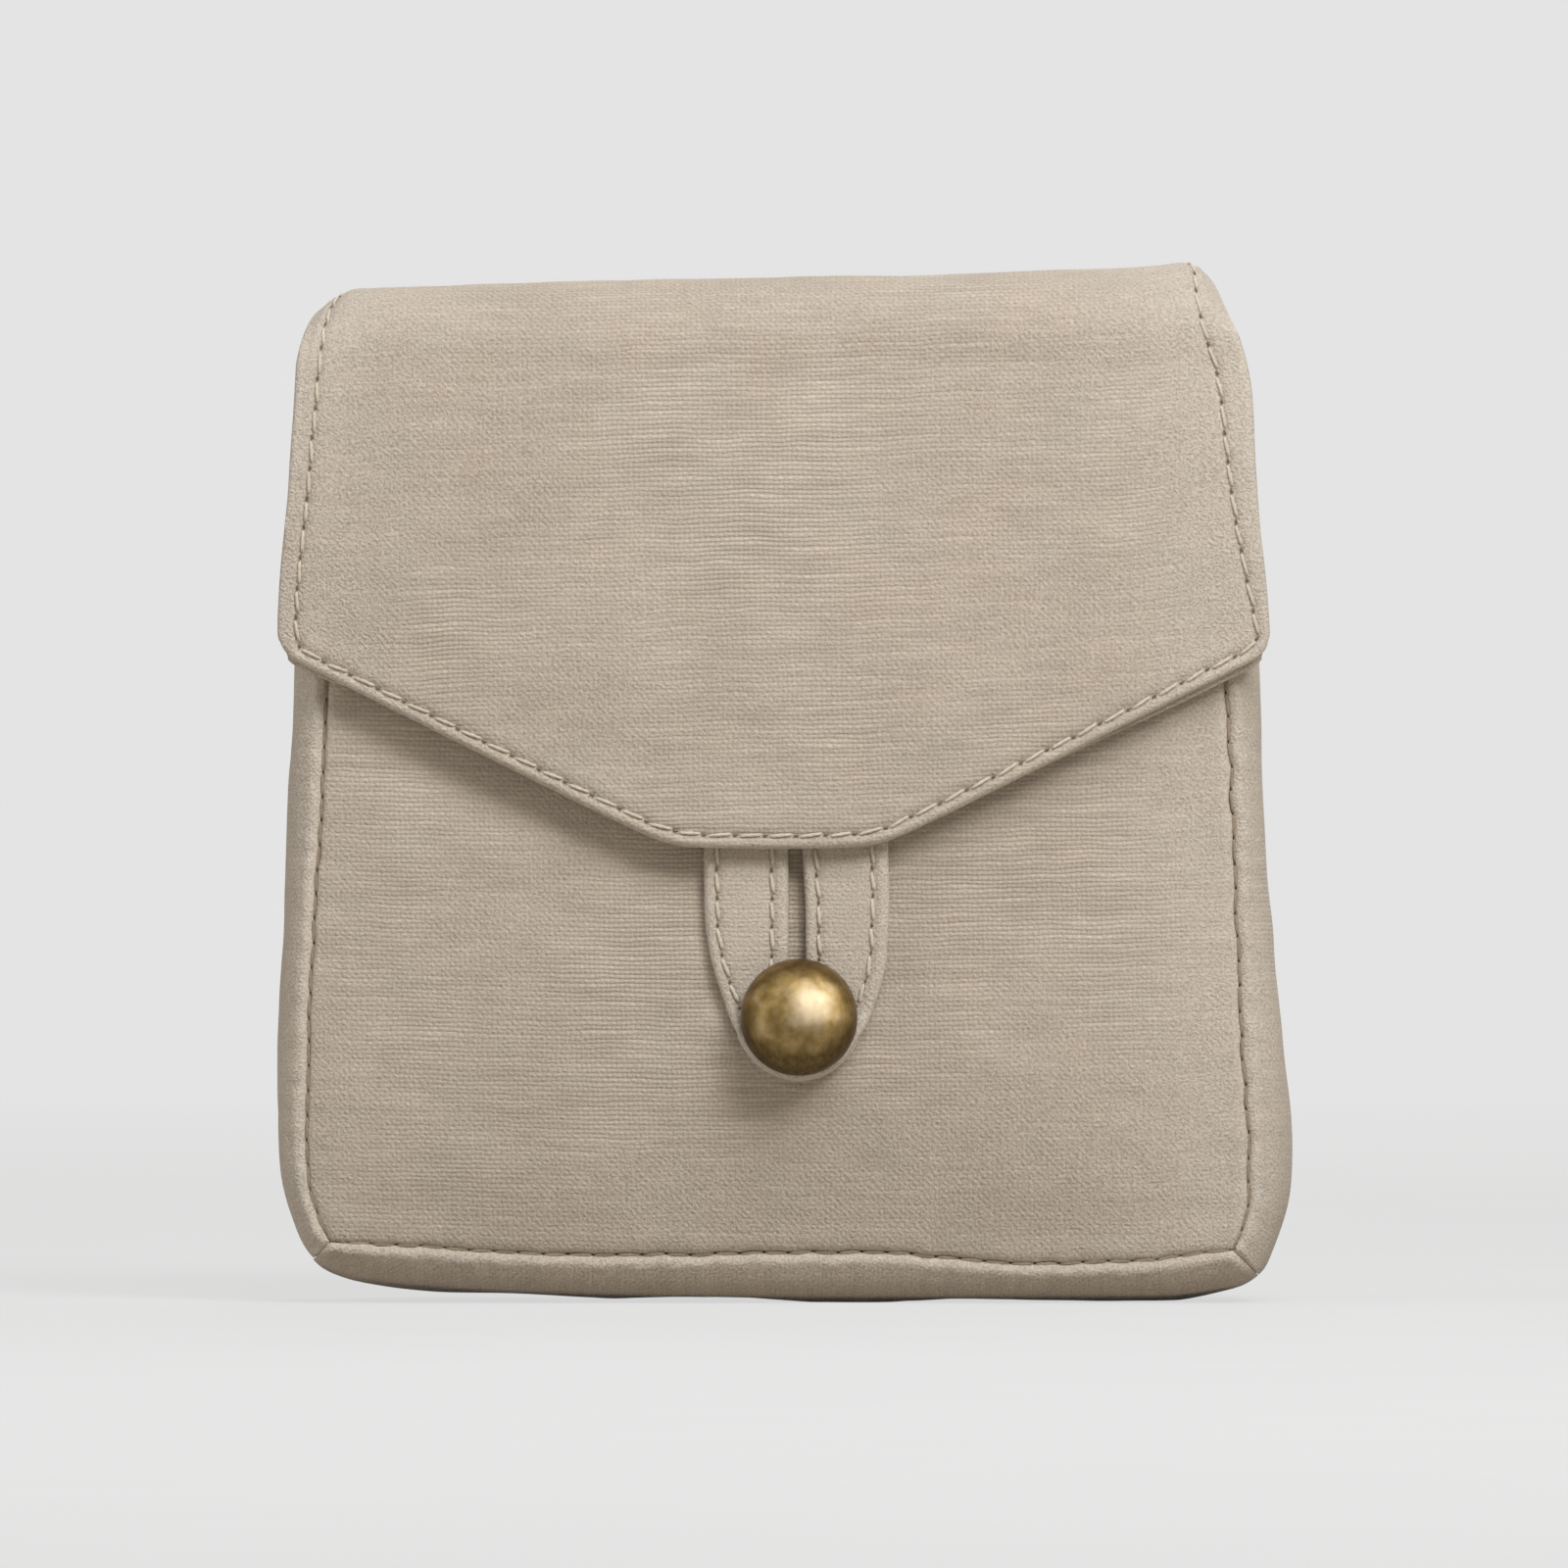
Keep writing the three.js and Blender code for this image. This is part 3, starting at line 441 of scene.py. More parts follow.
class Shader:
    """The nodes of a material, or of the world, under construction."""

    def __init__(self, owner):
        self.owner = owner
        self.owner.use_nodes = True
        self.tree = owner.node_tree
        self.tree.nodes.clear()

    def node(self, kind, sockets=None, **settings):
        made = self.tree.nodes.new("ShaderNode" + kind)
        for key, value in settings.items():
            setattr(made, key, value)
        for key, value in (sockets or {}).items():
            if isinstance(value, bpy.types.NodeSocket):
                self.tree.links.new(value, made.inputs[key])
            else:
                made.inputs[key].default_value = value
        return made

    def math(self, operation, a, b=0.0, c=0.0):
        return self.node("Math", {0: a, 1: b, 2: c}, operation=operation).outputs[0]

    def vector(self, operation, a, b=(0, 0, 0), c=(0, 0, 0)):
        return self.node("VectorMath", {0: a, 1: b, 2: c}, operation=operation).outputs[0]

    def distance(self, a, b=(0, 0, 0)):
        return self.node("VectorMath", {0: a, 1: b}, operation="DISTANCE").outputs["Value"]

    def axis(self, vector, number):
        return self.node("SeparateXYZ", {0: vector}).outputs[number]

    def remap(self, value, low, high):
        """A value from 0 to 1 becomes one from low to high."""
        return self.math("MULTIPLY_ADD", value, high - low, low)

    def clamp(self, value):
        return self.node("Clamp", {0: value}).outputs[0]

    def mix(self, share, a, b):
        return self.node("Mix", {0: share, 2: a, 3: b}).outputs[0]

    def blend(self, share, a, b):
        """A mix of two colours."""
        return self.node("Mix", {0: share, 6: a, 7: b}, data_type="RGBA").outputs[2]

    def tint(self, colour, factor):
        """A colour times a number."""
        return self.node("VectorMath", {0: colour, "Scale": factor}, operation="SCALE").outputs[0]

    def noise(self, vector, scale, detail=2.0, output="Fac"):
        sockets = {"Vector": vector, "Scale": scale, "Detail": detail}
        return self.node("TexNoise", sockets).outputs[output]

    def contrast(self, value, low, high):
        """Stretches the part of a value between low and high to 0 and 1."""
        sockets = {"Value": value, "From Min": low, "From Max": high}
        return self.node("MapRange", sockets).outputs[0]

    def patches(self, vector, scale, detail, edge):
        """Noise whose part from edge to 1 - edge is stretched to 0 and 1."""
        return self.contrast(self.noise(vector, scale, detail), edge, 1 - edge)

    def place(self):
        """Position on the object in millimetres."""
        return self.tint(self.node("TexCoord").outputs["Object"], 1 / MM)

    def seen(self):
        """1 for what is seen, mirrored or seen through glass, and 0 for what only lights."""
        path = self.node("LightPath").outputs
        seen = self.math("MAXIMUM", path["Is Camera Ray"], path["Is Glossy Ray"])
        return self.math("MAXIMUM", seen, path["Is Transmission Ray"])

    def bump(self, height, distance, strength=1.0, normal=None):
        sockets = {"Height": height, "Distance": distance * MM, "Strength": strength}
        if normal is not None:
            sockets["Normal"] = normal
        return self.node("Bump", sockets).outputs[0]

    def finish(self, sockets):
        surface = self.node("BsdfPrincipled", sockets).outputs[0]
        self.node("OutputMaterial", {"Surface": surface})
        return self.owner


def new_material(name):
    return Shader(bpy.data.materials.new(name))


def weave(s, warp_pitch, weft_pitch, wander, crimp):
    """A plain weave over the cloth's own flat coordinates, with the weft bolder than the warp.

    Returns its height, from 0 to 1, a tone that differs from thread to thread, that of the
    weft alone, and a height where the crossings stand out as pebbles in slanting rows.
    """
    flat = s.node("UVMap", uv_map="cloth").outputs[0]
    long = s.vector("MULTIPLY", flat, (0.25, 1, 1))
    moved = flat
    for where, scale, detail, reach in (
        (flat, 0.10, 4.0, (wander, wander, 0)), (long, 0.85, 2.0, (0.8, 0.45, 0)),
    ):
        drift = s.vector("SUBTRACT", s.noise(where, scale, detail, "Color"), (0.5, 0.5, 0.5))
        moved = s.vector("MULTIPLY_ADD", drift, reach, moved)
    u = s.math("MULTIPLY", s.axis(moved, 0), 1 / warp_pitch)
    v = s.math("MULTIPLY", s.axis(moved, 1), 1 / weft_pitch)
    warp_number = s.math("FLOOR", u)
    weft_number = s.math("FLOOR", v)

    def round_thread(place):
        return s.math("SINE", s.math("MULTIPLY", s.math("FRACT", place), math.pi))

    def over_under(place, number):
        turn = s.math("ADD", s.math("ADD", place, -0.5), number)
        return s.math("COSINE", s.math("MULTIPLY", turn, math.pi))

    def thread_tone(number, along, layer):
        x = s.math("MULTIPLY", number, 4.37)
        y = s.math("MULTIPLY", along, 0.035)
        return s.patches(s.node("CombineXYZ", {0: x, 1: y, 2: layer}).outputs[0], 1.9, 1.0, 0.28)

    warp_rise = s.math("MULTIPLY_ADD", over_under(v, warp_number), crimp, 1 - crimp)
    weft_rise = s.math("MULTIPLY_ADD", over_under(u, weft_number), -crimp * 0.42, 1 - crimp * 0.3)
    warp = s.math("MULTIPLY", round_thread(u), warp_rise)
    weft = s.math("MULTIPLY", round_thread(v), weft_rise)
    height = s.math("MAXIMUM", s.math("MULTIPLY", warp, 0.85), weft)
    height = s.math("MULTIPLY", height, s.remap(round_thread(u), 0.94, 1.0))
    height = s.math("MAXIMUM", height, 0.22)
    weft_tone = thread_tone(weft_number, u, 11.0)
    warp_tone = thread_tone(warp_number, v, 3.0)
    tone = s.mix(s.math("GREATER_THAN", warp, weft), weft_tone, warp_tone)
    slope = s.math("MULTIPLY_ADD", u, 1.32 * math.pi, s.math("MULTIPLY", v, -1.15 * math.pi))
    slanting = s.math("MULTIPLY_ADD", s.math("COSINE", slope), 0.27, 0.5)
    knob = s.math("MULTIPLY", round_thread(u), round_thread(v))
    return height, tone, weft_tone, s.mix(0.3, slanting, knob)


def linen_material():
    """Natural linen, ribbed here and felted there, and painted paler partly for wear and partly as
    painted light.
    """
    s = new_material("natural_linen")
    height, tone, rib, pebble = weave(s, warp_pitch=0.645, weft_pitch=0.61, wander=0.9, crimp=0.52)
    place = s.place()
    # This attribute says how far the cloth is painted paler: partly wear, partly painted light.
    worn_and_lit = s.node("Attribute", attribute_name="wear_and_light").outputs["Fac"]
    grain = s.patches(place, 3.1, 2.0, 0.33)
    matted = s.math("MINIMUM", s.math("MULTIPLY_ADD", worn_and_lit, 0.25, 0.46), 0.75)
    pebble = s.contrast(s.mix(matted, pebble, grain), -0.02, 0.86)
    low = s.contrast(s.axis(place, 2), 32.0, 8.0)
    pebbled = s.contrast(s.noise(place, 0.026, 2.0), 0.35, 0.60)
    pebbled = s.math("MINIMUM", s.math("MULTIPLY_ADD", low, 0.8, pebbled), 1.0)
    felted = s.math("MULTIPLY_ADD", worn_and_lit, 0.7, s.remap(pebbled, 0.18, 0.9))
    felted = s.math("MINIMUM", felted, 0.92)
    surface = s.mix(felted, height, pebble)

    hue = s.noise(place, 0.11, 3.0)
    yarn = s.blend(hue, (0.648, 0.541, 0.438, 1), (0.594, 0.546, 0.488, 1))
    # The hollows between threads are painted darker: painted shade in the weave.
    colour = s.blend(surface, (0.335, 0.281, 0.217, 1), yarn)
    fibre = s.patches(place, 3.2, 3.0, 0.25)
    cloud = s.patches(place, 0.085, 4.0, 0.3)
    rib_strength = s.remap(felted, 0.23, 0.05)
    streak = s.math("MULTIPLY_ADD", rib, rib_strength, s.remap(felted, 0.885, 0.975))
    # Tone, ribs, fibres and clouds vary at random; the last factor is painted shade, darker toward
    # the bottom.
    for factor in (
        s.remap(tone, 0.95, 1.05), streak, s.remap(fibre, 0.95, 1.05),
        s.remap(cloud, 0.955, 1.04), s.remap(low, 1.0, 0.92),
    ):
        colour = s.tint(colour, factor)
    # Painted paler toward a light linen colour: partly wear, partly painted light.
    pale_share = s.math("MULTIPLY", worn_and_lit, s.remap(grain, 0.26, 0.50))
    return s.finish({
        "Base Color": s.blend(pale_share, colour, (0.740, 0.672, 0.588, 1)),
        "Roughness": s.remap(surface, 0.98, 0.84),
        "Normal": s.bump(surface, 0.15, 0.9, s.bump(fibre, 0.06, 0.5)),
        "Specular IOR Level": 0.25,
        "Sheen Weight": 0.12,
        "Sheen Roughness": 0.5,
        "Sheen Tint": (1.0, 0.95, 0.88, 1),
    })


def lining_material():
    s = new_material("lining_cotton")
    height, tone = weave(s, warp_pitch=0.32, weft_pitch=0.36, wander=0.6, crimp=0.5)[:2]
    place = s.place()
    # The hollows between threads are painted darker: painted shade in the weave.
    colour = s.blend(height, (0.36, 0.32, 0.26, 1), (0.66, 0.60, 0.51, 1))
    colour = s.tint(colour, s.remap(tone, 0.95, 1.05))
    creases = s.bump(s.noise(place, 0.35, 4.0), 0.35, 0.4)
    return s.finish({
        "Base Color": s.tint(colour, s.remap(s.patches(place, 0.09, 3.0, 0.3), 0.95, 1.03)),
        "Roughness": s.remap(tone, 0.86, 0.93),
        "Normal": s.bump(height, 0.06, 0.6, creases),
        "Specular IOR Level": 0.25,
    })


def thread_material():
    s = new_material("cream_thread")
    place = s.place()
    fibre = s.patches(place, 5.5, 3.0, 0.3)
    colour = s.blend(fibre, (0.55, 0.48, 0.39, 1), (0.76, 0.69, 0.58, 1))
    return s.finish({
        "Base Color": s.tint(colour, s.remap(s.noise(place, 0.5, 1.0), 0.9, 1.08)),
        "Roughness": s.remap(fibre, 0.75, 0.6),
        "Normal": s.bump(fibre, 0.05, 0.5),
        "Specular IOR Level": 0.35,
        "Sheen Weight": 0.1,
    })


def seam_thread_material():
    s = new_material("seam_thread")
    fibre = s.patches(s.place(), 5.0, 3.0, 0.3)
    return s.finish({
        "Base Color": s.blend(fibre, (0.25, 0.20, 0.145, 1), (0.40, 0.335, 0.255, 1)),
        "Roughness": s.remap(fibre, 0.9, 0.75),
        "Normal": s.bump(fibre, 0.05, 0.5),
        "Specular IOR Level": 0.2,
    })


# A dark colour put in each needle hole: painted shade.
def hole_shade_material():
    s = new_material("hole_shade")
    fibre = s.patches(s.place(), 6.0, 3.0, 0.3)
    return s.finish({
        "Base Color": s.blend(fibre, (0.170, 0.136, 0.099, 1), (0.300, 0.246, 0.187, 1)),
        "Roughness": s.remap(fibre, 1.0, 0.9),
        "Specular IOR Level": 0.05,
    })


def brass_material():
    """Aged brass with a painted highlight above the middle, tarnish at its rim and painted shade
    toward the bottom.
    """
    s = new_material("aged_brass")
    place = s.place()
    centred = s.vector("SUBTRACT", place, (BUTTON_X, 0, BUTTON_Z))
    facing = s.vector("MULTIPLY", centred, (1, 0, 1))
    # A pale spot painted above and right of the middle, where the highlight falls: painted highlight.
    highlight_spot = s.contrast(s.distance(facing, (1.7, 0, 1.5)), 4.0, 1.2)
    uneven = s.remap(s.patches(place, 0.62, 5.0, 0.3), -0.30, 0.28)
    pale_share = s.clamp(s.math("ADD", highlight_spot, uneven))
    blotch = s.contrast(s.noise(place, 0.42, 5.0), 0.34, 0.68)
    streaky = s.vector("MULTIPLY", place, (1.0, 1.0, 0.35))
    speck = s.contrast(s.noise(streaky, 1.6, 4.0), 0.35, 0.7)
    golden = s.blend(blotch, (0.300, 0.192, 0.063, 1), (0.54, 0.378, 0.150, 1))
    bright = s.blend(pale_share, golden, (0.74, 0.595, 0.390, 1))
    tarnish = s.blend(speck, (0.084, 0.052, 0.018, 1), (0.152, 0.099, 0.037, 1))
    rim = s.contrast(s.distance(facing), 4.6, BUTTON_RADIUS)
    # Darker toward the bottom: painted shade, besides the tarnish at the rim.
    low = s.contrast(s.axis(centred, 2), 2.5, -6.2)
    share = s.math("ADD", s.math("MULTIPLY", rim, 0.55), s.math("MULTIPLY", low, 0.90))
    share = s.math("ADD", share, s.math("MULTIPLY", blotch, -0.20))
    share = s.clamp(s.math("ADD", share, 0.10))
    dents = s.bump(s.noise(place, 0.35, 2.0), 0.08, 0.4)
    return s.finish({
        "Base Color": s.blend(share, bright, tarnish),
        "Metallic": 1.0,
        "Roughness": s.math("ADD", s.remap(blotch, 0.42, 0.36), s.remap(speck, 0.05, -0.02)),
        "Normal": s.bump(speck, 0.02, 0.3, dents),
    })


linen = linen_material()
lining = lining_material()
thread = thread_material()
seam_thread = seam_thread_material()
hole_shade = hole_shade_material()
brass = brass_material()


# Stitches


def stitch_places(line, normals, start, seed, pitch=3.9, gap=1.0, slant=0.17):
    """Starts, ends and outward directions of a row of stitches along a line.

    Each stitch lies a little askew, and the next begins across a needle hole.
    """
    rng = np.random.default_rng(seed)
    along = lengths(line)
    holes = np.arange(start, along[-1], pitch)
    holes = holes + rng.uniform(-0.14, 0.14, len(holes))
    begins, ends = holes[:-1] + gap / 2, holes[1:] - gap / 2
    outward = unit(sampled(normals, along, (begins + ends) / 2))
    first, last = sampled(line, along, begins), sampled(line, along, ends)
    sideways = np.cross(last - first, outward)
    sideways *= slant / np.linalg.norm(sideways, axis=1, keepdims=True)
    uneven = rng.uniform(0.5, 1.3, (len(first), 1))
    return first + sideways * uneven, last - sideways * uneven, outward


def crossing_places(line, normals, across, pitch, size, seed):
    """Short slanting stitches that cross a seam, for a line along its groove."""
    rng = np.random.default_rng(seed)
    along = lengths(line)
    places = np.arange(1.2, along[-1] - 1.0, pitch)
    places = places + rng.uniform(-0.45, 0.45, len(places))
    tangents = np.gradient(line, axis=0) / np.gradient(along)[:, None]
    forward = unit(sampled(tangents, along, places))
    slant = rng.uniform(0.25, 0.75, (len(places), 1))
    reach = (unit(sampled(across, along, places)) + forward * slant) * size / 2
    centre = sampled(line, along, places)
    return centre - reach, centre + reach, unit(sampled(normals, along, places))


def hole_shades(starts, ends, axes, radius, size, first):
    """Points and faces of a dark lens at the end of each stitch: painted shade that stands for the
    needle hole.

    axes are the stitches' directions forward, sideways and up. first is the first point's number.
    """
    forward, sideways, up = axes
    rim = (np.arange(8) * np.pi / 4)[:, None]
    middle = ends + forward * radius
    middle[:-1] = ends[:-1] + (starts[1:] - ends[:-1]) / 2
    around = 2.4 * np.cos(rim) * forward[:, None] + np.sin(rim) * sideways[:, None]
    tips = np.stack([middle + up * 0.07, middle - up * 0.25], axis=1)
    points = np.concatenate([middle[:, None] + size * around, tips], axis=1)
    faces = []
    for start in range(first, first + 10 * len(ends), 10):
        for j in range(8):
            here, there = start + j, start + (j + 1) % 8
            faces += [[here, there, start + 8], [there, here, start + 9]]
    return points.reshape(-1, 3), faces


def stitches(name, places, sizes, *nodes, bend=None):
    """Two-ply stitches that arch between two needle holes, with painted shade in the holes where they
    have a size.
    """
    radius, rise, sink, hole = sizes
    starts, ends, outward = places
    t = np.linspace(0, 1, 13)
    angle = np.arange(10) * 2 * np.pi / 10
    chord = ends - starts
    size = np.linalg.norm(chord, axis=1)[:, None]
    forward = chord / size
    sideways = unit(np.cross(forward, outward))
    up = np.cross(sideways, forward)
    arch = rise - (rise + sink) * np.abs(2 * t - 1) ** 5
    centre = starts[:, None] + chord[:, None] * t[:, None] + up[:, None] * arch[:, None]
    twist = size * t * 2 * np.pi / 2.1
    lobes = 1 + 0.16 * np.cos(2 * (angle - twist[..., None]))
    thin = 1 - 0.45 * np.abs(2 * t - 1) ** 3
    ring = (radius * lobes * thin[:, None])[..., None]
    offset = 0.75 * ring * np.cos(angle)[:, None] * up[:, None, None]
    offset += ring * np.sin(angle)[:, None] * sideways[:, None, None]
    points = (centre[:, :, None] + offset).reshape(-1, 3)
    index = numbers(len(starts), len(t), len(angle))
    faces = quads(wrapped(index)) + index[:, 0].tolist() + index[:, -1, ::-1].tolist()
    choice = [0] * len(faces)
    materials = [seam_thread]
    if hole:
        axes = (forward, sideways, up)
        rims, rim_faces = hole_shades(starts, ends, axes, radius, hole, len(points))
        points = np.vstack([points, rims])
        faces += rim_faces
        choice += [1] * len(rim_faces)
        materials = [thread, hole_shade]
    made = make_object(name, points, faces, materials, choice)
    dress(made, "thread", *nodes, bend=bend)


def dimples(grid, places, depth, radius):
    """How far needle holes pull the cloth down, at each point of a grid."""
    pulled = np.zeros(grid.shape[:2])
    for point in np.vstack(places[:2]):
        away = np.linalg.norm(grid - point, axis=2)
        pulled = np.maximum(pulled, depth * bell(away, radius))
    return pulled


def normals_at(line, grid, normals):
    """Outward directions of a grid at the points of a line that lies on it."""
    flat = grid.reshape(-1, 3)
    tree = kdtree.KDTree(len(flat))
    for k, point in enumerate(flat.tolist()):
        tree.insert(point, k)
    tree.balance()
    nearest = [tree.find(point)[1] for point in line.tolist()]
    return normals.reshape(-1, 3)[nearest]


# Body

left_line = through(LEFT_SEAM)
right_line = through(RIGHT_SEAM)
low_line = through(LOW_SEAM)
outline = through(BODY_OUTLINE)
outline[:, 0] = mix(VIEW_X, outline[:, 0], OUTLINE_SPREAD)

# Each seam wanders a little between its corners
for line, axis, seed in ((left_line, 0, 71), (right_line, 0, 72), (low_line, 1, 73)):
    along = lengths(line)
    fade = smooth(along / 5) * smooth((along[-1] - along) / 5)
    line[:, axis] += 0.15 * fade * lumps(along, 0 * along, 4.2, seed)

seam_left = reader(left_line, 1)
seam_right = reader(right_line, 1)
seam_low = reader(low_line, 0)


def half_width(x, z):
    return np.where(x < 0, -seam_left(z), seam_right(z))


def front_belly(x, z):
    across = 1 - np.clip(np.abs(x) / half_width(x, z), 0, 1) ** CROWN_POWER
    up = 1 - np.clip(1 - (z - seam_low(x)) / FRONT_CROWN_RAMP, 0, 1) ** CROWN_POWER
    near_mouth = np.clip((z - MOUTH_EASE_Z) / (MOUTH_Z - MOUTH_EASE_Z), 0, 1)
    return FRONT_CROWN * across * up * (1 - 0.5 * near_mouth**2)


def back_belly(x, z):
    from_low = np.minimum(z - seam_low(x), TAIL_LOW - z)
    from_side = half_width(x, z) - np.abs(x)
    return BACK_CROWN * (smooth(from_side / BACK_CROWN_RAMP) * smooth(from_low / BACK_CROWN_RAMP))


def wall_grid(facing, top, across, down, depth=0.0):
    """Points of the front wall, facing -1, or the back wall, facing 1.

    x depends on z and z on x along the seams, so both settle in a few rounds.
    """
    x = mix(-WALL_WIDE / 2, WALL_WIDE / 2, across[None])
    for _ in range(5):
        z = mix(top, seam_low(x), down[:, None])
        x = mix(seam_left(z), seam_right(z), across[None])
    belly = front_belly(x, z) if facing < 0 else back_belly(x, z)
    grid = joined(x, facing * (SEAM_DEPTH - depth + belly), z)
    return grid if facing < 0 else grid[:, ::-1]


def wall_uv(grid):
    x, z = grid[..., 0], grid[..., 2]
    return joined(x + 0.02 * z + 0.5 * np.sin(z / 24), -z + 0.9 * (x / 60) ** 2)


def wall_lift(grid, uneven, seed):
    """Unevenness of a stuffed wall, and the gathers along its seams."""
    x, z = grid[..., 0], grid[..., 2]
    left = x - seam_left(z)
    right = seam_right(z) - x
    low = z - seam_low(x)
    gathers = pucker(z, left, 5.3, 0.13, 2.6)
    gathers = gathers + pucker(z + 2.0, right, 4.7, 0.15, 2.6) + pucker(x, low, 5.8, 0.15, 2.8)
    near = np.minimum.reduce([left, right, low])
    soft = uneven * lumps(x, z, 34, seed) + 0.07 * lumps(x, z, 9, seed + 1)
    return gathers + 0.13 * bell(near - 1.9, 1.1) + smooth(near / 12) * soft


def make_walls():
    """The stuffed front and back walls, and their linings."""
    for name, facing, top, uneven, seed in (
        ("front", -1, MOUTH_Z, 0.24, 11), ("back", 1, BACK_Z, 0.45, 21),
    ):
        across, down = (graded(size, EDGE, 1.0) for size in (WALL_WIDE, WALL_TALL))
        grid = wall_grid(facing, top, across, down)
        lift = wall_lift(grid, uneven, seed)
        # Painted paler toward the right seam: partly wear, partly painted light, as if lit more from
        # the right.
        wear_and_light = 0.7 * bell(seam_right(grid[..., 2]) - grid[..., 0], 14)
        made = cloth(f"{name}_wall_cloth", grid, SHELL, [linen], wall_uv(grid), lift, wear_and_light=wear_and_light)
        dress(made, "linen", f"{name}_panel", f"{name}_padding")
        across, down = (graded(size, THIN_EDGE, 3) for size in (WALL_WIDE, WALL_TALL))
        grid = wall_grid(facing, top, across, down, LINING_DEPTH)
        folds = 0.2 * lumps(grid[..., 0], grid[..., 2], 26, seed + 5)
        made = cloth(f"{name}_lining_cloth", grid, LINING_CLOTH, [lining], wall_uv(grid), folds)
        dress(made, "lining", f"{name}_lining")


# Gussets


def swell(origin, direction):
    """Distance from a seam point to the body's outline, along a direction."""
    a, b = outline[:-1], outline[1:]
    span = b - a
    cross = direction[0] * span[:, 1] - direction[1] * span[:, 0]
    cross = np.where(np.abs(cross) < 1e-9, 1e-9, cross)
    to_a = a - origin
    reach = (to_a[:, 0] * span[:, 1] - to_a[:, 1] * span[:, 0]) / cross
    share = (to_a[:, 0] * direction[1] - to_a[:, 1] * direction[0]) / cross
    return reach[(reach > 0) & (share >= 0) & (share <= 1)].min()


def corner_bend(distance):
    """How far a section is turned toward a lower corner's mitre, at a distance from it."""
    return math.pi / 4 * (1 - smooth(distance / CORNER_TURN))


def gusset_sections(part, step, near):
    """Seam point, outward direction and swell of each section of a gusset."""
    if part == "bottom":
        left, right = low_line[0, 0], low_line[-1, 0]
        x = mix(left, right, graded(right - left, near, step))
        points = joined(x, seam_low(x))
        lean = corner_bend(right - x) - corner_bend(x - left)
        directions = joined(np.sin(lean), -np.cos(lean))
    else:
        line, sign = (left_line, -1) if part == "left" else (right_line, 1)
        low = line[0, 1]
        z = mix(MOUTH_Z, low, graded(MOUTH_Z - low, near, step))
        points = joined(reader(line, 1)(z), z)
        bend = corner_bend(z - low)
        directions = joined(sign * np.cos(bend), -np.sin(bend))
    return points, directions, np.array([swell(p, d) for p, d in zip(points, directions)])


def depth_profile(depth, turn, flat_points):
    """Across the gusset from front to back: y, and the share of the swell."""
    turn = np.array(turn)
    half_y = FLAT_DEPTH + (SEAM_DEPTH - depth - FLAT_DEPTH) * np.cos(turn)
    flat_y = np.linspace(-FLAT_DEPTH, FLAT_DEPTH, flat_points)
    y = np.concatenate([-half_y, flat_y, half_y[::-1]])
    share = np.concatenate([np.sin(turn), np.ones(flat_points), np.sin(turn)[::-1]])
    return y, share


def gusset_grid(part, depth, step, near, turn, flat_points):
    """Points of a gusset, or of its lining at a depth, a little hollow along its middle."""
    points, directions, reach = gusset_sections(part, step, near)
    y, share = depth_profile(depth, turn, flat_points)
    crown = 0.5 * np.clip(np.abs(y) / FLAT_DEPTH, 0, 1) ** 2 * share
    out = (reach[:, None] - depth) * share - crown
    middle = np.clip(1 - (y / 9.5) ** 2, 0, 1) ** 2
    if part == "bottom":
        out = out - 0.2 * middle * smooth((58 - np.abs(points[:, :1])) / 25)
    else:
        out = out - 1.0 * middle * smooth((points[:, 1:] - 50) / 60)
    grid = joined(points[:, :1] + directions[:, :1] * out, y, points[:, 1:] + directions[:, 1:] * out)
    return grid if part == "right" else grid[:, ::-1]


def strip_uv(grid):
    """Flat coordinates of a strip, from distances along its middle row and column."""
    rows, columns = grid.shape[:2]
    return joined(lengths(grid[rows // 2]), lengths(grid[:, columns // 2])[:, None])


def gusset_lift(grid, seed):
    """The gusset's ridge beside each seam, its gathers and its own unevenness.

    Returns how far it rises, how much of that is ridge, and the distance from the seams.
    """
    across = run_along(grid, 1)
    from_seam = from_ends(across, 1)
    along = lengths(grid[:, 0])[:, None]
    ridge = bell(from_seam - 1.3, 0.8)
    gathers = pucker(along, from_seam, 4.3, 0.17, 2.4) + pucker(along, from_seam, 2.3, 0.11, 1.8)
    knobs = 0.10 * ridge * lumps(along, across, 1.5, seed + 2)
    middle = smooth((from_seam - 7) / 6) * smooth((along[-1:] - along) / 10)
    sag = 0.42 * lumps(across, along, 31, seed) + 0.1 * lumps(across, along, 9, seed + 1)
    return 0.24 * ridge + gathers + knobs + middle * sag, ridge, from_seam


# Each gusset: flat size in metres, and how much paler it is painted all over and beside
# its seams, partly as wear and partly as painted light
GUSSETS = {
    "left": ((0.038, 0.116), 0.45, 0.3),
    "right": ((0.040, 0.117), 0.35, 0.4),
    "bottom": ((0.040, 0.119), 0.25, 0.0),
}


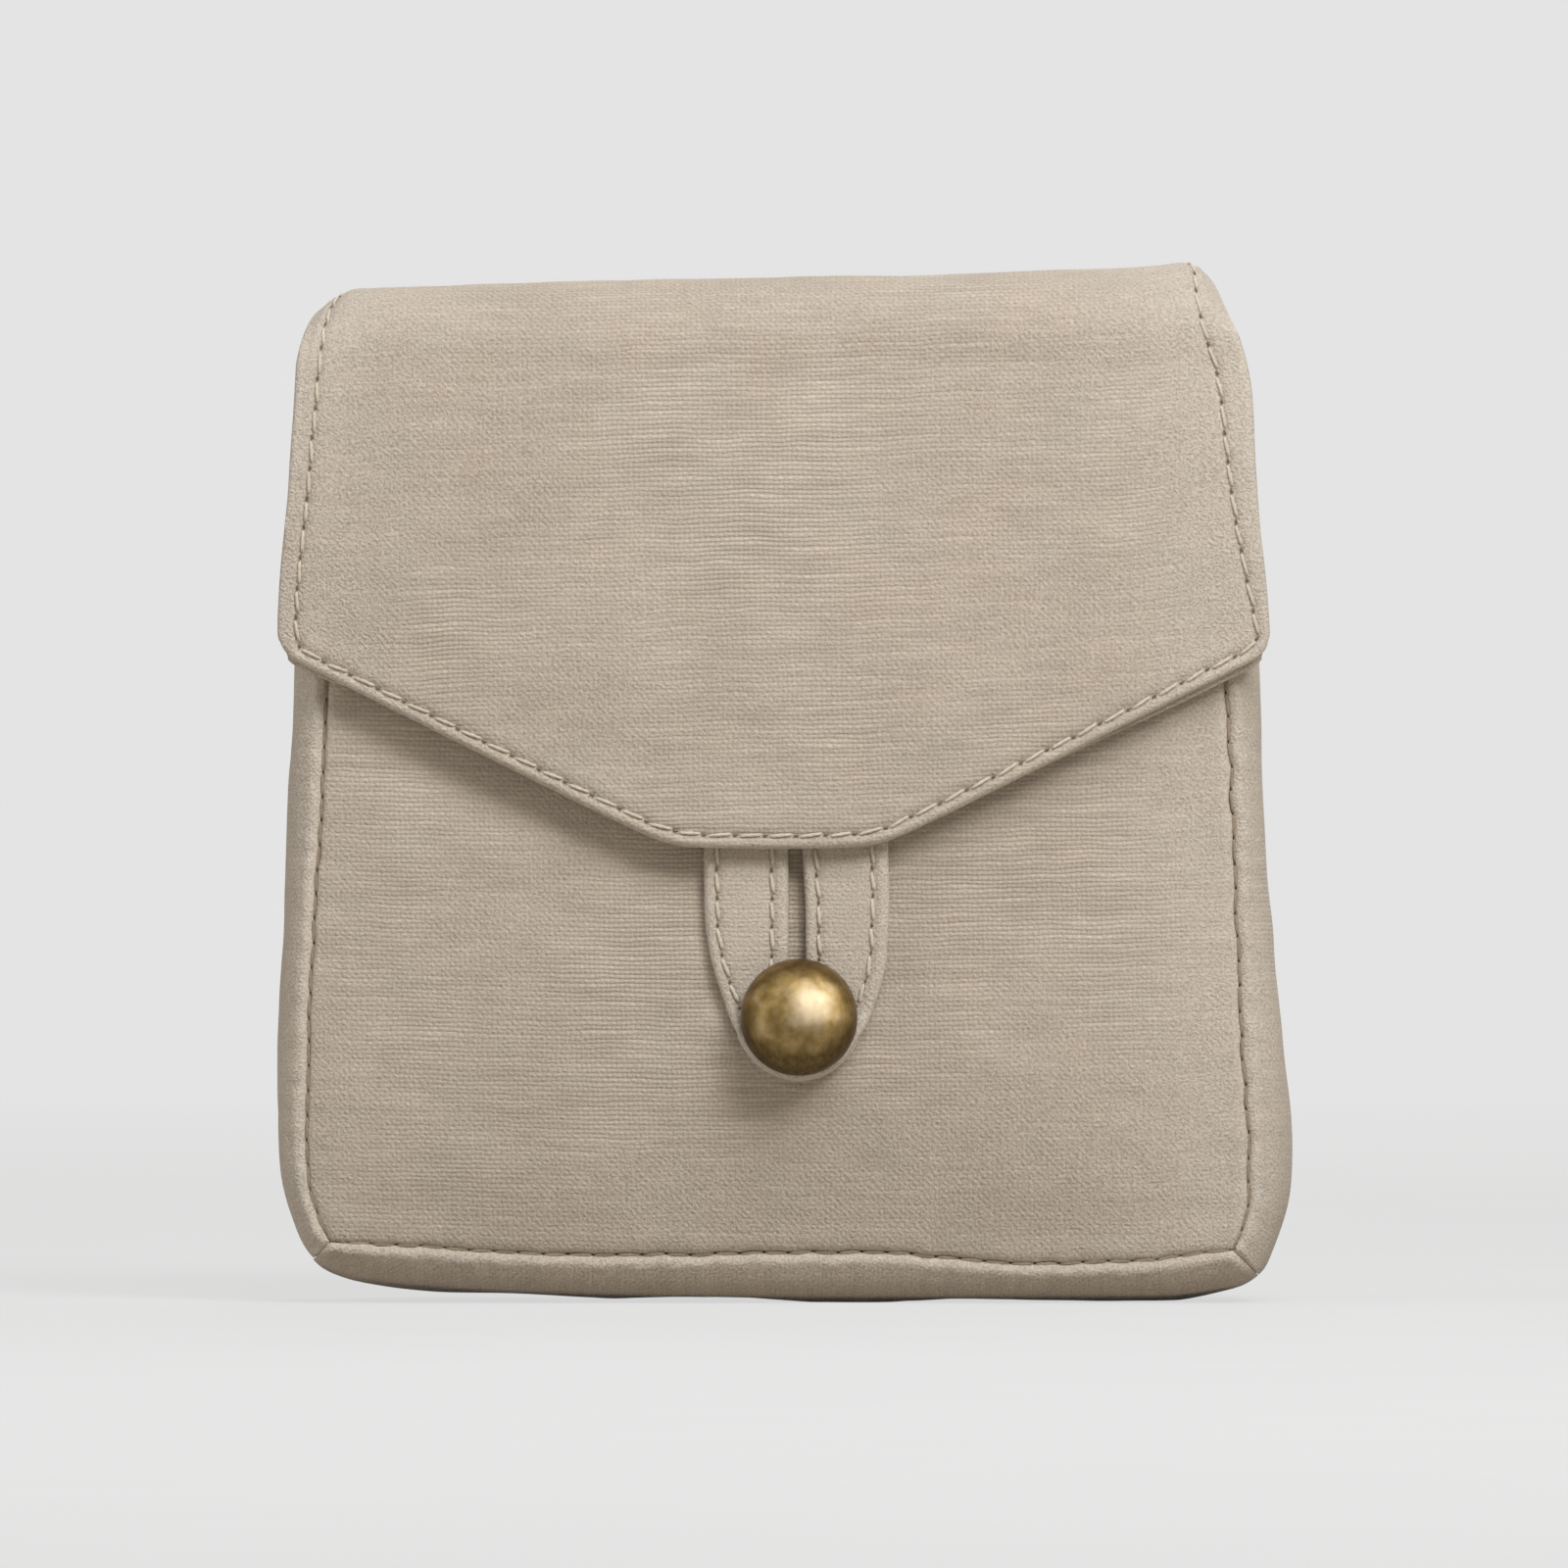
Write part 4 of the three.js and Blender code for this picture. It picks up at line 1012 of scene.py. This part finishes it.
def make_gussets():
    """The three gussets and their linings. Returns the gussets' grids."""
    grids = {}
    for number, (part, (flat, plain, near_seam)) in enumerate(GUSSETS.items()):
        grid = gusset_grid(part, 0.0, 0.9, EDGE, FINE_TURN, 15)
        grids[part] = grid
        lift, ridge, from_seam = gusset_lift(grid, 31 + 3 * number)
        # The ends are rounded near the seams only, deeper on the right, and then meet flat
        deep = mix(0.8, 2.4, smooth((grid[..., 0] + 30) / 60))
        meeting = mix(SHELL / 2, 0.05, smooth((from_seam - deep) / 2.0))
        # Paler on the ridge, all over and beside the seams: partly wear, partly painted light, with a
        # painted highlight on the ridge.
        wear_and_light = 0.35 * ridge + plain + near_seam * bell(from_seam, 7)
        uv = strip_uv(grid)
        made = cloth(f"{part}_gusset_cloth", grid, SHELL, [linen], uv, lift, meeting, wear_and_light)
        dress(made, "linen", f"{part}_gusset", f"{part}_gusset_padding")
        inner = gusset_grid(part, LINING_DEPTH, 3.0, THIN_EDGE, PLAIN_TURN, 7)
        made = cloth(f"{part}_lining_cloth", inner, LINING_CLOTH, [lining], strip_uv(inner))
        dress(made, "lining", f"{part}_gusset_lining")
    return grids


def make_bindings(grids):
    """The strips of linen folded over the top edge of each wall."""
    closed = through(BINDING + BINDING[:1], 3)[:-1]
    edges = {}
    for name, facing, top in (("front", -1, MOUTH_Z), ("back", 1, BACK_Z)):
        edges[name] = wall_grid(facing, top, np.linspace(0, 1, 71), np.array([0.0]))[0]
    for name in ("left", "right"):
        edges[name] = grids[name][0]
    for name, line in edges.items():
        up = np.array([0, 0, 1.0])
        outward = unit(np.cross(np.gradient(line, axis=0), up))
        uneven = 0.1 * lumps(lengths(line), 0 * line[:, 0], 14, len(name))
        rings = line[:, None] - outward[:, None] * closed[:, :1]
        rings = rings + up * (closed[:, 1:] + uneven[:, None, None])
        uv = joined(lengths(line)[:, None], lengths(closed))[:, ::-1].reshape(-1, 2)
        made = tubes(f"{name}_mouth_binding", [rings[:, ::-1]], linen, uv)
        dress(made, "linen", f"{name}_mouth_hem")


def make_body_stitches(grids):
    """Seam stitches sunk in the grooves, corner stitches, and the row along the mouth."""
    seam = np.vstack([left_line[::-1][36:], low_line[1:-1], right_line[:-36]])
    for name, facing, top in (("front", -1, 119), ("back", 1, 111)):
        x, z = seam[seam[:, 1] < top].T
        line = joined(x, facing * (SEAM_DEPTH - SEAM_GROOVE), z)
        places = stitch_places(line, 0 * line + [0, facing, 0], 0.4, 41 + facing, 3.2, 0.3, 0.05)
        stitches(f"{name}_seam_stitches", places, SEAM_STITCH, f"{name}_seam_stitch")
    for part in ("left", "right"):
        grid = grids[part]
        outward = grid_normals(grid)[-1, 4:-4]
        groove = grid[-1, 4:-4] - outward * CORNER_GROOVE
        side = np.gradient(grid, axis=0)[-1, 4:-4]
        places = crossing_places(groove, outward, side, 3.1, 1.4, 51)
        stitches(f"{part}_corner_stitches", places, CORNER_STITCH, f"{part}_corner_stitch")
    x = np.linspace(-52, 52, 80)
    z = MOUTH_Z - 2.7
    line = joined(x, -(SEAM_DEPTH + front_belly(x, z) + 0.3), z)
    places = stitch_places(line, 0 * line + [0, -1, 0], 0.5, 61)
    stitches("front_mouth_stitches", places, MOUTH_STITCH, "front_mouth_stitch")


# Flap

flap_left = reader(through(LEFT_FLAP), 1)
flap_right = reader(through(RIGHT_FLAP), 1)
flap_tilt = reader(through(TOP_RISE), 0)
left_margin = reader(LEFT_MARGIN, 1)
right_margin = reader(RIGHT_MARGIN, 1)

# In place of the distance from the hem, on top and round the fold
FAR = 90.0


def flap_droop(x):
    """How far the flap's side edges hang below its ridge."""
    left = np.maximum((-x - 53.5) / 5, 0)
    right = np.maximum((x - 53.2) / 4.2, 0)
    return 8 * (1 - np.exp(-0.306 * left**2)) + 14 * (1 - np.exp(-0.236 * right**2))


def toward_hinge(y):
    """0 in front of the flap's crest, and 1 at the hinge."""
    return np.clip((y - FLAP_CREST_Y) / (HINGE_Y - FLAP_CREST_Y), 0, 1)


def flap_rise(x, y):
    """How much higher the flap's top is than in the CAD, which fades toward the hinge."""
    back = toward_hinge(y)
    return flap_tilt(x) * (1 - back**2) - flap_droop(x) * (1 - back)


def flap_top_z(x, y):
    return FLAP_TOP + flap_rise(x, y) - FLAP_FALL * toward_hinge(y) ** 2


def hem_z(x):
    """Height of the hem: level at the blunt point, then slanting up to the lower corners."""
    past = np.abs(x) - HEM_FLAT_HALF
    rise = (past + np.hypot(past, HEM_ROUND)) / 2
    corner = np.clip((np.abs(x) - 62.2) / 1.2, 0, 1) ** 2
    return HEM_LOW + HEM_SLOPE * rise + 0.55 * corner


def hem_slant(x):
    """Height for one millimetre measured square to the hem."""
    return np.hypot(1, (hem_z(x + 0.1) - hem_z(x - 0.1)) / 0.2)


def flap_standoff(x, z):
    """How far the flap's inner face stands off the front seam's plane."""
    half = mix(61.3, 64.2, np.clip((FOLD_Z - z) / 36.8, 0, 1))
    across = np.clip(np.abs(x) / half, 0, 1)
    room = TAB_ROOM * smooth((105 - z) / 30)
    middle = front_belly(0 * x, z) + FLAP_GAP + room
    here = front_belly(x, z) + FLAP_GAP + room * (1 - across**3) - 1.2 * across**8
    return mix(middle, here, smooth((FOLD_Z - z) / 60))


def flap_grid(depth, side_inset, hem_drop, back_y, step, back_near, side_near, hem_near):
    """Points of the flap from its back edge, over the fold, down to its hem.

    Also returns the flat coordinates and the distances from the left, right and hem edges.
    Down the front, x and z settle in a few rounds.
    """
    across = graded(124, side_near, step)[None]
    radius = FOLD_RADIUS - depth
    rows = []

    def add(x, y, z, run, left, right, hem):
        rows.append(joined(x, y, z, x + 0.5 * np.sin(run / 21), run, x - left, right - x, hem))

    top_length = back_y - FOLD_Y
    even = np.arange(back_near[-1] + step, top_length - step / 2, step)
    for off in [*back_near, *even]:
        y = back_y - off
        along = (HINGE_Y - y) / (HINGE_Y - FOLD_Y)
        left = mix(-TAIL_HALF, FOLD_LEFT[0], along) + side_inset
        right = mix(TAIL_HALF, FOLD_RIGHT[0], along) - side_inset
        x = mix(left, right, across)
        add(x, y, flap_top_z(x, y) - depth, off, left, right, FAR)
    turns = round(FOLD_RADIUS * math.pi / 2 / step)
    for turn in np.linspace(0, math.pi / 2, turns, endpoint=False):
        left = mix(*FOLD_LEFT, math.sin(turn) ** 0.8) + side_inset
        right = mix(*FOLD_RIGHT, math.sin(turn) ** 1.7) - side_inset
        x = mix(left, right, across)
        y = FOLD_Y - radius * math.sin(turn)
        z = FOLD_Z + flap_tilt(x) + (radius - flap_droop(x)) * math.cos(turn)
        add(x, y, z, top_length + FOLD_RADIUS * turn, left, right, FAR)
    fold_run = top_length + FOLD_RADIUS * math.pi / 2
    drops = np.linspace(0, 1, round(60 / step), endpoint=False)
    stops = [(share, hem_near[-1]) for share in drops] + [(1.0, off) for off in hem_near[::-1]]
    for share, off in stops:
        x = mix(-62.0, 62.0, across)
        for _ in range(6):
            ridge = FOLD_Z + flap_tilt(x)
            z = mix(ridge, hem_z(x) - hem_drop(x) + off * hem_slant(x), share)
            left, right = flap_left(z) + side_inset, flap_right(z) - side_inset
            x = mix(left, right, across)
        y = -(SEAM_DEPTH + flap_standoff(x, z) + FLAP_DEPTH - depth)
        add(x, y, z, fold_run + ridge - z, left, right, (z - hem_z(x)) / hem_slant(x))
    table = np.vstack(rows)
    return table[..., :3], table[..., 3:5], table[..., 5:]


def flap_stitch_line(grid, edges):
    """Where the flap's topstitching runs: down the left side, along the hem and up the right."""
    z = grid[..., 2]
    to_left = edges[..., 0] - left_margin(z)
    to_right = edges[..., 1] - right_margin(z)
    to_hem = edges[..., 2] - HEM_STITCH

    def crossing(row, values):
        """Where values change sign along a row of points."""
        k = int(np.argmax((values[:-1] < 0) != (values[1:] < 0)))
        share = values[k] / (values[k] - values[k + 1])
        return mix(row[k], row[k + 1], share)

    def above_hem(p):
        return (p[2] - hem_z(p[0])) / hem_slant(p[0]) >= HEM_STITCH

    rows, columns = z.shape
    half = columns // 2
    left_side = [crossing(grid[r, :half], to_left[r, :half]) for r in range(4, rows)]
    right_side = [crossing(grid[r, half:], to_right[r, half:]) for r in range(4, rows)]
    hem = [crossing(grid[::-1, c], to_hem[::-1, c]) for c in range(columns)]
    left_side = [p for p in left_side if above_hem(p)]
    right_side = [p for p in right_side if above_hem(p)]
    hem = [p for p in hem if left_side[-1][0] + 0.4 < p[0] < right_side[-1][0] - 0.4]
    return np.array([*left_side, *hem, *right_side[::-1]])


def stitched_lift(from_stitch):
    """The groove that a row of stitches pulls, and the welt between it and the edge."""
    groove = -0.2 * bell(from_stitch, 0.55)
    welt = 0.14 * bell(from_stitch + 1.0, 0.6)
    inside = 0.07 * bell(from_stitch - 1.5, 1.0)
    return groove + welt + inside


def make_flap():
    """The flap's linen face and its topstitching."""
    side = [0, 0.07, 0.24, 0.48, 0.78, 1.1, 1.4, 1.7, 2.0, 2.3, 2.6, 2.95, 3.3, 3.7, 4.1, 4.6]
    hem = [0, 0.07, 0.24, 0.48, 0.78, 1.05, 1.3, 1.55, 1.75, 1.95, 2.25, 2.65, 3.1]
    grid, flats, edges = flap_grid(
        0.0, 0.0, lambda x: 0 * x, FLAP_SEAM_Y, 0.6, EDGE[:8], side, hem
    )
    x, z, run = grid[..., 0], grid[..., 2], flats[..., 1]
    line = flap_stitch_line(grid, edges)
    places = stitch_places(line, normals_at(line, grid, grid_normals(grid)), 0.4, 71)
    from_stitch = np.minimum.reduce([
        edges[..., 0] - left_margin(z),
        edges[..., 1] - right_margin(z),
        edges[..., 2] - HEM_STITCH,
    ])
    lift = stitched_lift(from_stitch) - dimples(grid, places, 0.22, 0.42)
    lift += smooth(from_stitch / 8) * (0.2 * lumps(x, run, 36, 5) + 0.06 * lumps(x, run, 10, 6))
    # The side edges are painted paler: partly wear, partly painted light.
    scuffed_lit_sides = 0.9 * bell(edges[..., 0], 12) + 1.15 * bell(edges[..., 1], 14)
    made = cloth("flap_cloth", grid, FLAP_CLOTH, [linen], flats, lift, wear_and_light=scuffed_lit_sides)
    nodes = ("flap_top_face", "flap_top_padding", "flap_front_face", "flap_front_padding")
    dress(made, "linen", *nodes, bend=FOLD)
    nodes = ("flap_front_stitch", "left_flap_top_stitch", "right_flap_top_stitch")
    stitches("flap_stitches", places, FLAP_STITCH, *nodes, bend=FOLD)


def peep(x):
    """How far the flap's lining shows below its face: at the corners, most on the right."""
    right = 1.05 * smooth((x - 24) / 34)
    left = 0.85 * smooth((-x - 53) / 7)
    return right + left - 0.3


def make_flap_lining():
    """The layer behind the flap's face, of linen in front and lining behind."""
    grid, flats, _ = flap_grid(
        FLAP_LINING_DEPTH, 0.15, peep, 14.2, 1.1, THIN_EDGE, THIN_EDGE + [2.4], THIN_EDGE
    )
    ripple = 0.12 * lumps(grid[..., 0], flats[..., 1], 21, 8)
    both = [linen, lining]
    made = cloth("flap_lining_cloth", grid, FLAP_LINING, both, flats, -np.abs(ripple))
    dress(made, "lining", "flap_top_lining", "flap_front_lining", bend=FOLD)


def make_tail():
    """The flap's tail, sewn on the back wall, and the cloth that turns over the hinge."""
    bend = through([
        (FLAP_SEAM_Y, 131.27), (13.3, 130.85), (14.5, 130.36), (15.7, 129.6), (16.6, 128.4),
        (17.05, 126.8), (17.1, 125), (17.1, 119), (17.1, TAIL_LOW),
    ], 10)
    total = lengths(bend)[-1]
    path = resample(bend, graded(total, EDGE, 0.8) * total)
    y, z = path[:, :1], path[:, 1:]
    x = TAIL_HALF * (1 - 2 * graded(2 * TAIL_HALF, EDGE, 1.0)[None]) + 0 * y
    grid = joined(x, y, z + smooth((z - 126) / 3) * flap_rise(x, y))
    z = grid[..., 2]
    heights = {"lower": TAIL_LOW + 2, "upper": BACK_Z - 2}
    lift = -0.22 * (bell(z - heights["lower"], 0.5) + bell(z - heights["upper"], 0.5))
    lift += smooth((z - 115) / 4) * 0.07 * lumps(x, z, 22, 9)
    made = cloth("flap_tail_cloth", grid, TAIL_CLOTH, [linen], strip_uv(grid), lift)
    dress(made, "linen", "flap_tail", bend=HINGE)
    for name, height in heights.items():
        line = joined(np.linspace(54.5, -54.5, 90), HINGE_Y, height)
        places = stitch_places(line, 0 * line + [0, 1, 0], 0.6, 81)
        stitches(f"{name}_tail_stitches", places, TAIL_STITCH, f"{name}_tail_stitch")


# Tab


def tab_edge(parts):
    """An edge of the tab in three runs, with as many points on each edge."""
    steps = 12
    line = through(sum(parts, []), steps)
    tip = (len(parts[0]) - 1) * steps
    right = tip + len(parts[1]) * steps
    runs = [line[:tip + 1], line[tip:right + 1], line[right:]]
    placed = []
    for run, count in zip(runs, (46, 56, 46)):
        placed.append(resample(run, np.linspace(0, lengths(run)[-1], count + 1)))
    ends = np.array([0, 0.08, 0.25, 0.5]) * 1.2
    first = resample(runs[0], ends)
    last = resample(runs[2][::-1], ends)[::-1]
    return np.vstack([first, placed[0][2:], placed[1][1:], placed[2][1:-2], last])


def on_tab(x, z):
    """Points on the front of the tab: its sides curl back a little and its tip cups the button."""
    lean = 0.25 * smooth((50 - z) / 20)
    curl = 0.3 * np.clip((np.abs(x) - 8) / 4, 0, 1) ** 2
    from_button = np.hypot(x, z - BUTTON_Z)
    cup = 0.9 * smooth((from_button - 6.3) / 1.6) * smooth((BUTTON_Z + 1.5 - z) / 4)
    return joined(x + BUTTON_X, TAB_FRONT_Y + lean + curl - cup, z)


def make_tab():
    """The slit tab, with a row of stitches along its edge and one about its slit."""
    outer, inner = tab_edge(TAB_OUTER), tab_edge(TAB_INNER)
    width = np.linalg.norm(inner - outer, axis=1)[:, None]
    near = np.array([0, 0.07, 0.24, 0.48, 0.78, 1.05, 1.35, 1.65, 1.95, 2.3])
    middle = np.linspace(0, 1, 9)[None, 1:-1]
    reach = near[-1]
    offsets = np.hstack([
        near + 0 * width, reach + (width - 2 * reach) * middle, width - near[::-1],
    ])
    flat = mix(outer[:, None], inner[:, None], (offsets / width)[..., None])
    x, z = flat[..., 0], flat[..., 1] + BUTTON_Z
    grid = on_tab(x, z)
    to_right = smooth((x[:, 0] + 6) / 12)[:, None]
    edge_inset, slit_inset = mix(*TAB_EDGE_INSET, to_right), mix(*TAB_SLIT_INSET, to_right)
    rows = {}
    pulled = 0
    for name, edge, toward, inset in (
        ("edge", outer, inner, edge_inset), ("slit", inner, outer, slit_inset),
    ):
        line = edge + (toward - edge) / width * inset
        line = line[line[:, 1] < 23.5]
        line = on_tab(line[:, 0], line[:, 1] + BUTTON_Z)
        rows[name] = stitch_places(line, 0 * line + [0, -1, 0], 0.3, 91, 3.7)
        pulled = np.maximum(pulled, dimples(grid, rows[name], 0.2, 0.42))
    from_edge = offsets - edge_inset
    from_slit = (width - offsets) - slit_inset
    lift = -0.24 * (bell(from_edge, 0.45) + bell(from_slit, 0.45)) - pulled
    lift += 0.09 * (bell(from_edge + 0.95, 0.5) + bell(from_slit + 1.0, 0.55))
    lift += 0.05 * lumps(x, z, 12, 7)
    uv = joined(x + 0.03 * z, -z)
    # The whole tab is painted paler: partly wear, partly painted light against the shade of the flap
    # above it.
    made = cloth("tab_cloth", grid, TAB_CLOTH, [linen], uv, lift, wear_and_light=0.65)
    dress(made, "linen", "tab_face", "tab_backing", "tab_root", bend=TAB_BEND)
    for name, places in rows.items():
        stitches(f"tab_{name}_stitches", places, TAB_STITCH, f"tab_{name}_stitch", bend=TAB_BEND)


# Button


def turned(name, profile, segments=96):
    """A brass profile of radius and height, turned about the button's axis, where its ends lie."""
    profile = np.array(profile, float)
    angle = np.arange(segments) * 2 * np.pi / segments
    radius = profile[:, :1]
    x = BUTTON_X + radius * np.cos(angle)
    z = BUTTON_Z + radius * np.sin(angle)
    rings = joined(x, BUTTON_BACK_Y - profile[:, 1:], z)
    index = wrapped(numbers(len(profile) - 2, segments))
    first, last = index[0].tolist(), index[-1].tolist()
    top = (len(profile) - 2) * segments
    faces = quads(index, True)
    faces += [[top, b, a] for a, b in zip(first, first[1:])]
    faces += [[top + 1, a, b] for a, b in zip(last, last[1:])]
    points = np.vstack([rings[1:-1].reshape(-1, 3), rings[0, :1], rings[-1, :1]])
    return make_object(name, points, faces, [brass])


def make_button():
    """The hollow dome with its rolled rim, its back plate and its wire eye."""

    def curve(wide, tall, middle, angles):
        return [(wide * math.cos(a), middle + tall * math.sin(a)) for a in angles]

    quarter = math.pi / 2
    outside = curve(BUTTON_RADIUS, DOME_HEIGHT, RIM_HEIGHT, np.linspace(quarter, 0.02, 26))
    rim = [(7.5, 0.7), (7.58, 0.45), (7.5, 0.18), (7.3, 0.02), (7.05, 0.02), (6.98, 0.2)]
    wide, tall = BUTTON_RADIUS - BRASS_SHEET, DOME_HEIGHT - BRASS_SHEET
    inside = curve(wide, tall, RIM_HEIGHT, np.linspace(0.02, quarter, 20))
    dome = turned("button_shell", outside + rim + inside)
    dress(dome, "brass", "button_dome", body="button")
    disc = [(0, 0.5), (6.2, 0.5), (6.6, 0.42), (6.7, 0.25), (6.6, 0.08), (6.2, 0), (0, 0)]
    dress(turned("button_backing", disc), "brass", "button_back_plate", body="button")
    leg = [(EYE_HALF, -22.3), (EYE_HALF, -22.8), (EYE_HALF, BUTTON_BACK_Y + 0.05)]
    bow = curve(EYE_HALF, EYE_HALF, EYE_MIDDLE_Y, np.linspace(math.pi, 0, 13))
    line = through([(-x, y) for x, y in leg[::-1]] + bow + leg, 4)
    line = joined(BUTTON_X, line[:, 1], BUTTON_Z + line[:, 0])
    eye = tubes("button_wire_eye", [tube_rings(line, EYE_WIRE, 12)], brass)
    dress(eye, "brass", "button_eye", body="button")


def make_shank_thread():
    """Four strands of thread from the patch, through the wall and round the wire eye."""
    legs = [(-1.3, -16.5), (-1.3, -18.5), (-1.3, -20.7), (-0.75, -21.25), (0, -21.38)]
    base = through(legs + [(-x, y) for x, y in legs[-2::-1]], 8)
    strands = []
    for k in range(4):
        turn = 2 * np.pi * (k / 4 + lengths(base) / 5.5)
        line = joined(
            BUTTON_X + base[:, 0] + STRAND * np.cos(turn) * np.sign(base[:, 0]),
            base[:, 1] + 0.06 * np.cos(turn),
            BUTTON_Z + 0.19 * np.sin(turn),
        )
        strands.append(tube_rings(line, STRAND, 8))
    made = tubes("shank_thread", strands, thread)
    dress(made, "thread", "button_thread", body="button_shank")


make_walls()
gussets = make_gussets()
make_bindings(gussets)
make_body_stitches(gussets)
make_flap()
make_flap_lining()
make_tail()
make_tab()
make_button()
make_shank_thread()

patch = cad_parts["button_patch"]
patch.data.materials.clear()
patch.data.materials.append(lining)


# Stage, light and camera, in metres

PALE = 0.775
FLOOR_HALF = 1.7
AIM = Vector((0, 0, 0.07))
CAMERA_PLACE = (0.00127, -2.5217, 0.0675)
CAMERA_LENS = 443

# Each lamp: place, size, power, colour, whether it lights matt surfaces and shows in gloss
LAMPS = {
    "key": ((0.58, -0.92, 0.85), 0.42, 8.8, (1.0, 0.995, 0.985), True, False),
    "top": ((0.14, -0.52, 0.70), 0.32, 2.6, (0.985, 0.99, 1.0), True, False),
    "fill": ((-1.35, -0.38, 0.92), 1.0, 7.4, (0.985, 0.99, 1.0), True, False),
    "window": ((1.0, -1.15, 0.80), 2.4, 22.0, (1.0, 0.98, 0.96), False, True),
    "rear": ((0.3, 1.2, 0.9), 0.9, 7.0, (1.0, 0.99, 0.98), True, True),
}


def make_stage():
    """A pale floor that keeps the pouch's shadow and fades out far from it."""
    s = new_material("pale_floor")
    place = s.node("TexCoord").outputs["Object"]
    shade = s.remap(s.patches(place, 30.0, 2.0, 0.3), 0.118, 0.124)
    colour = s.node("CombineColor", {0: shade, 1: shade, 2: shade}).outputs[0]
    seen = s.seen()
    diffuse = s.node("BsdfDiffuse", {"Color": s.blend(seen, (0.51, 0.473, 0.42, 1), colour)})
    glow = s.node("Emission", {"Color": (0.643, 0.643, 0.643, 1), "Strength": seen})
    both = s.node("AddShader", {0: diffuse.outputs[0], 1: glow.outputs[0]}).outputs[0]
    fade = s.contrast(s.distance(place), 0.7, 1.6)
    clear = s.node("BsdfTransparent").outputs[0]
    surface = s.node("MixShader", {0: fade, 1: both, 2: clear}).outputs[0]
    s.node("OutputMaterial", {"Surface": surface})
    corners = np.array([(-1, -1, 0), (1, -1, 0), (1, 1, 0), (-1, 1, 0)]) * FLOOR_HALF / MM
    make_object("floor", corners, [[0, 1, 2, 3]], [s.owner])


def make_world():
    """A soft warm sky that lights, and a plain pale one that is seen."""
    world = bpy.data.worlds.new("studio")
    bpy.context.scene.world = world
    s = Shader(world)
    seen = s.seen()
    up = s.contrast(s.axis(s.node("TexCoord").outputs["Generated"], 2), -0.4, 0.9)
    strength = s.mix(seen, s.remap(up, 0.03, 0.24), PALE)
    colour = s.blend(seen, (1.0, 0.94, 0.84, 1), (1, 1, 1, 1))
    sky = s.node("Background", {"Color": colour, "Strength": strength}).outputs[0]
    s.node("OutputWorld", {"Surface": sky})


def place_object(name, data, place, turn):
    made = bpy.data.objects.new(name, data)
    made.location = place
    made.rotation_euler = turn
    bpy.context.scene.collection.objects.link(made)
    return made


def make_lamps():
    """Square area lamps that face the pouch."""
    for name, (place, size, power, colour, on_matt, in_gloss) in LAMPS.items():
        lamp = bpy.data.lights.new(name, "AREA")
        lamp.size = size
        lamp.energy = power
        lamp.color = colour
        turn = (AIM - Vector(place)).to_track_quat("-Z", "Y").to_euler()
        made = place_object(name, lamp, place, turn)
        made.visible_diffuse = on_matt
        made.visible_glossy = in_gloss


def make_camera():
    camera = bpy.data.cameras.new("camera")
    camera.sensor_width = 36
    camera.lens = CAMERA_LENS
    camera.clip_start = 0.1
    camera.clip_end = 20
    made = place_object("camera", camera, CAMERA_PLACE, (math.pi / 2, 0, 0))
    bpy.context.scene.camera = made


make_stage()
make_world()
make_lamps()
make_camera()
bpy.context.scene.view_settings.view_transform = "Standard"
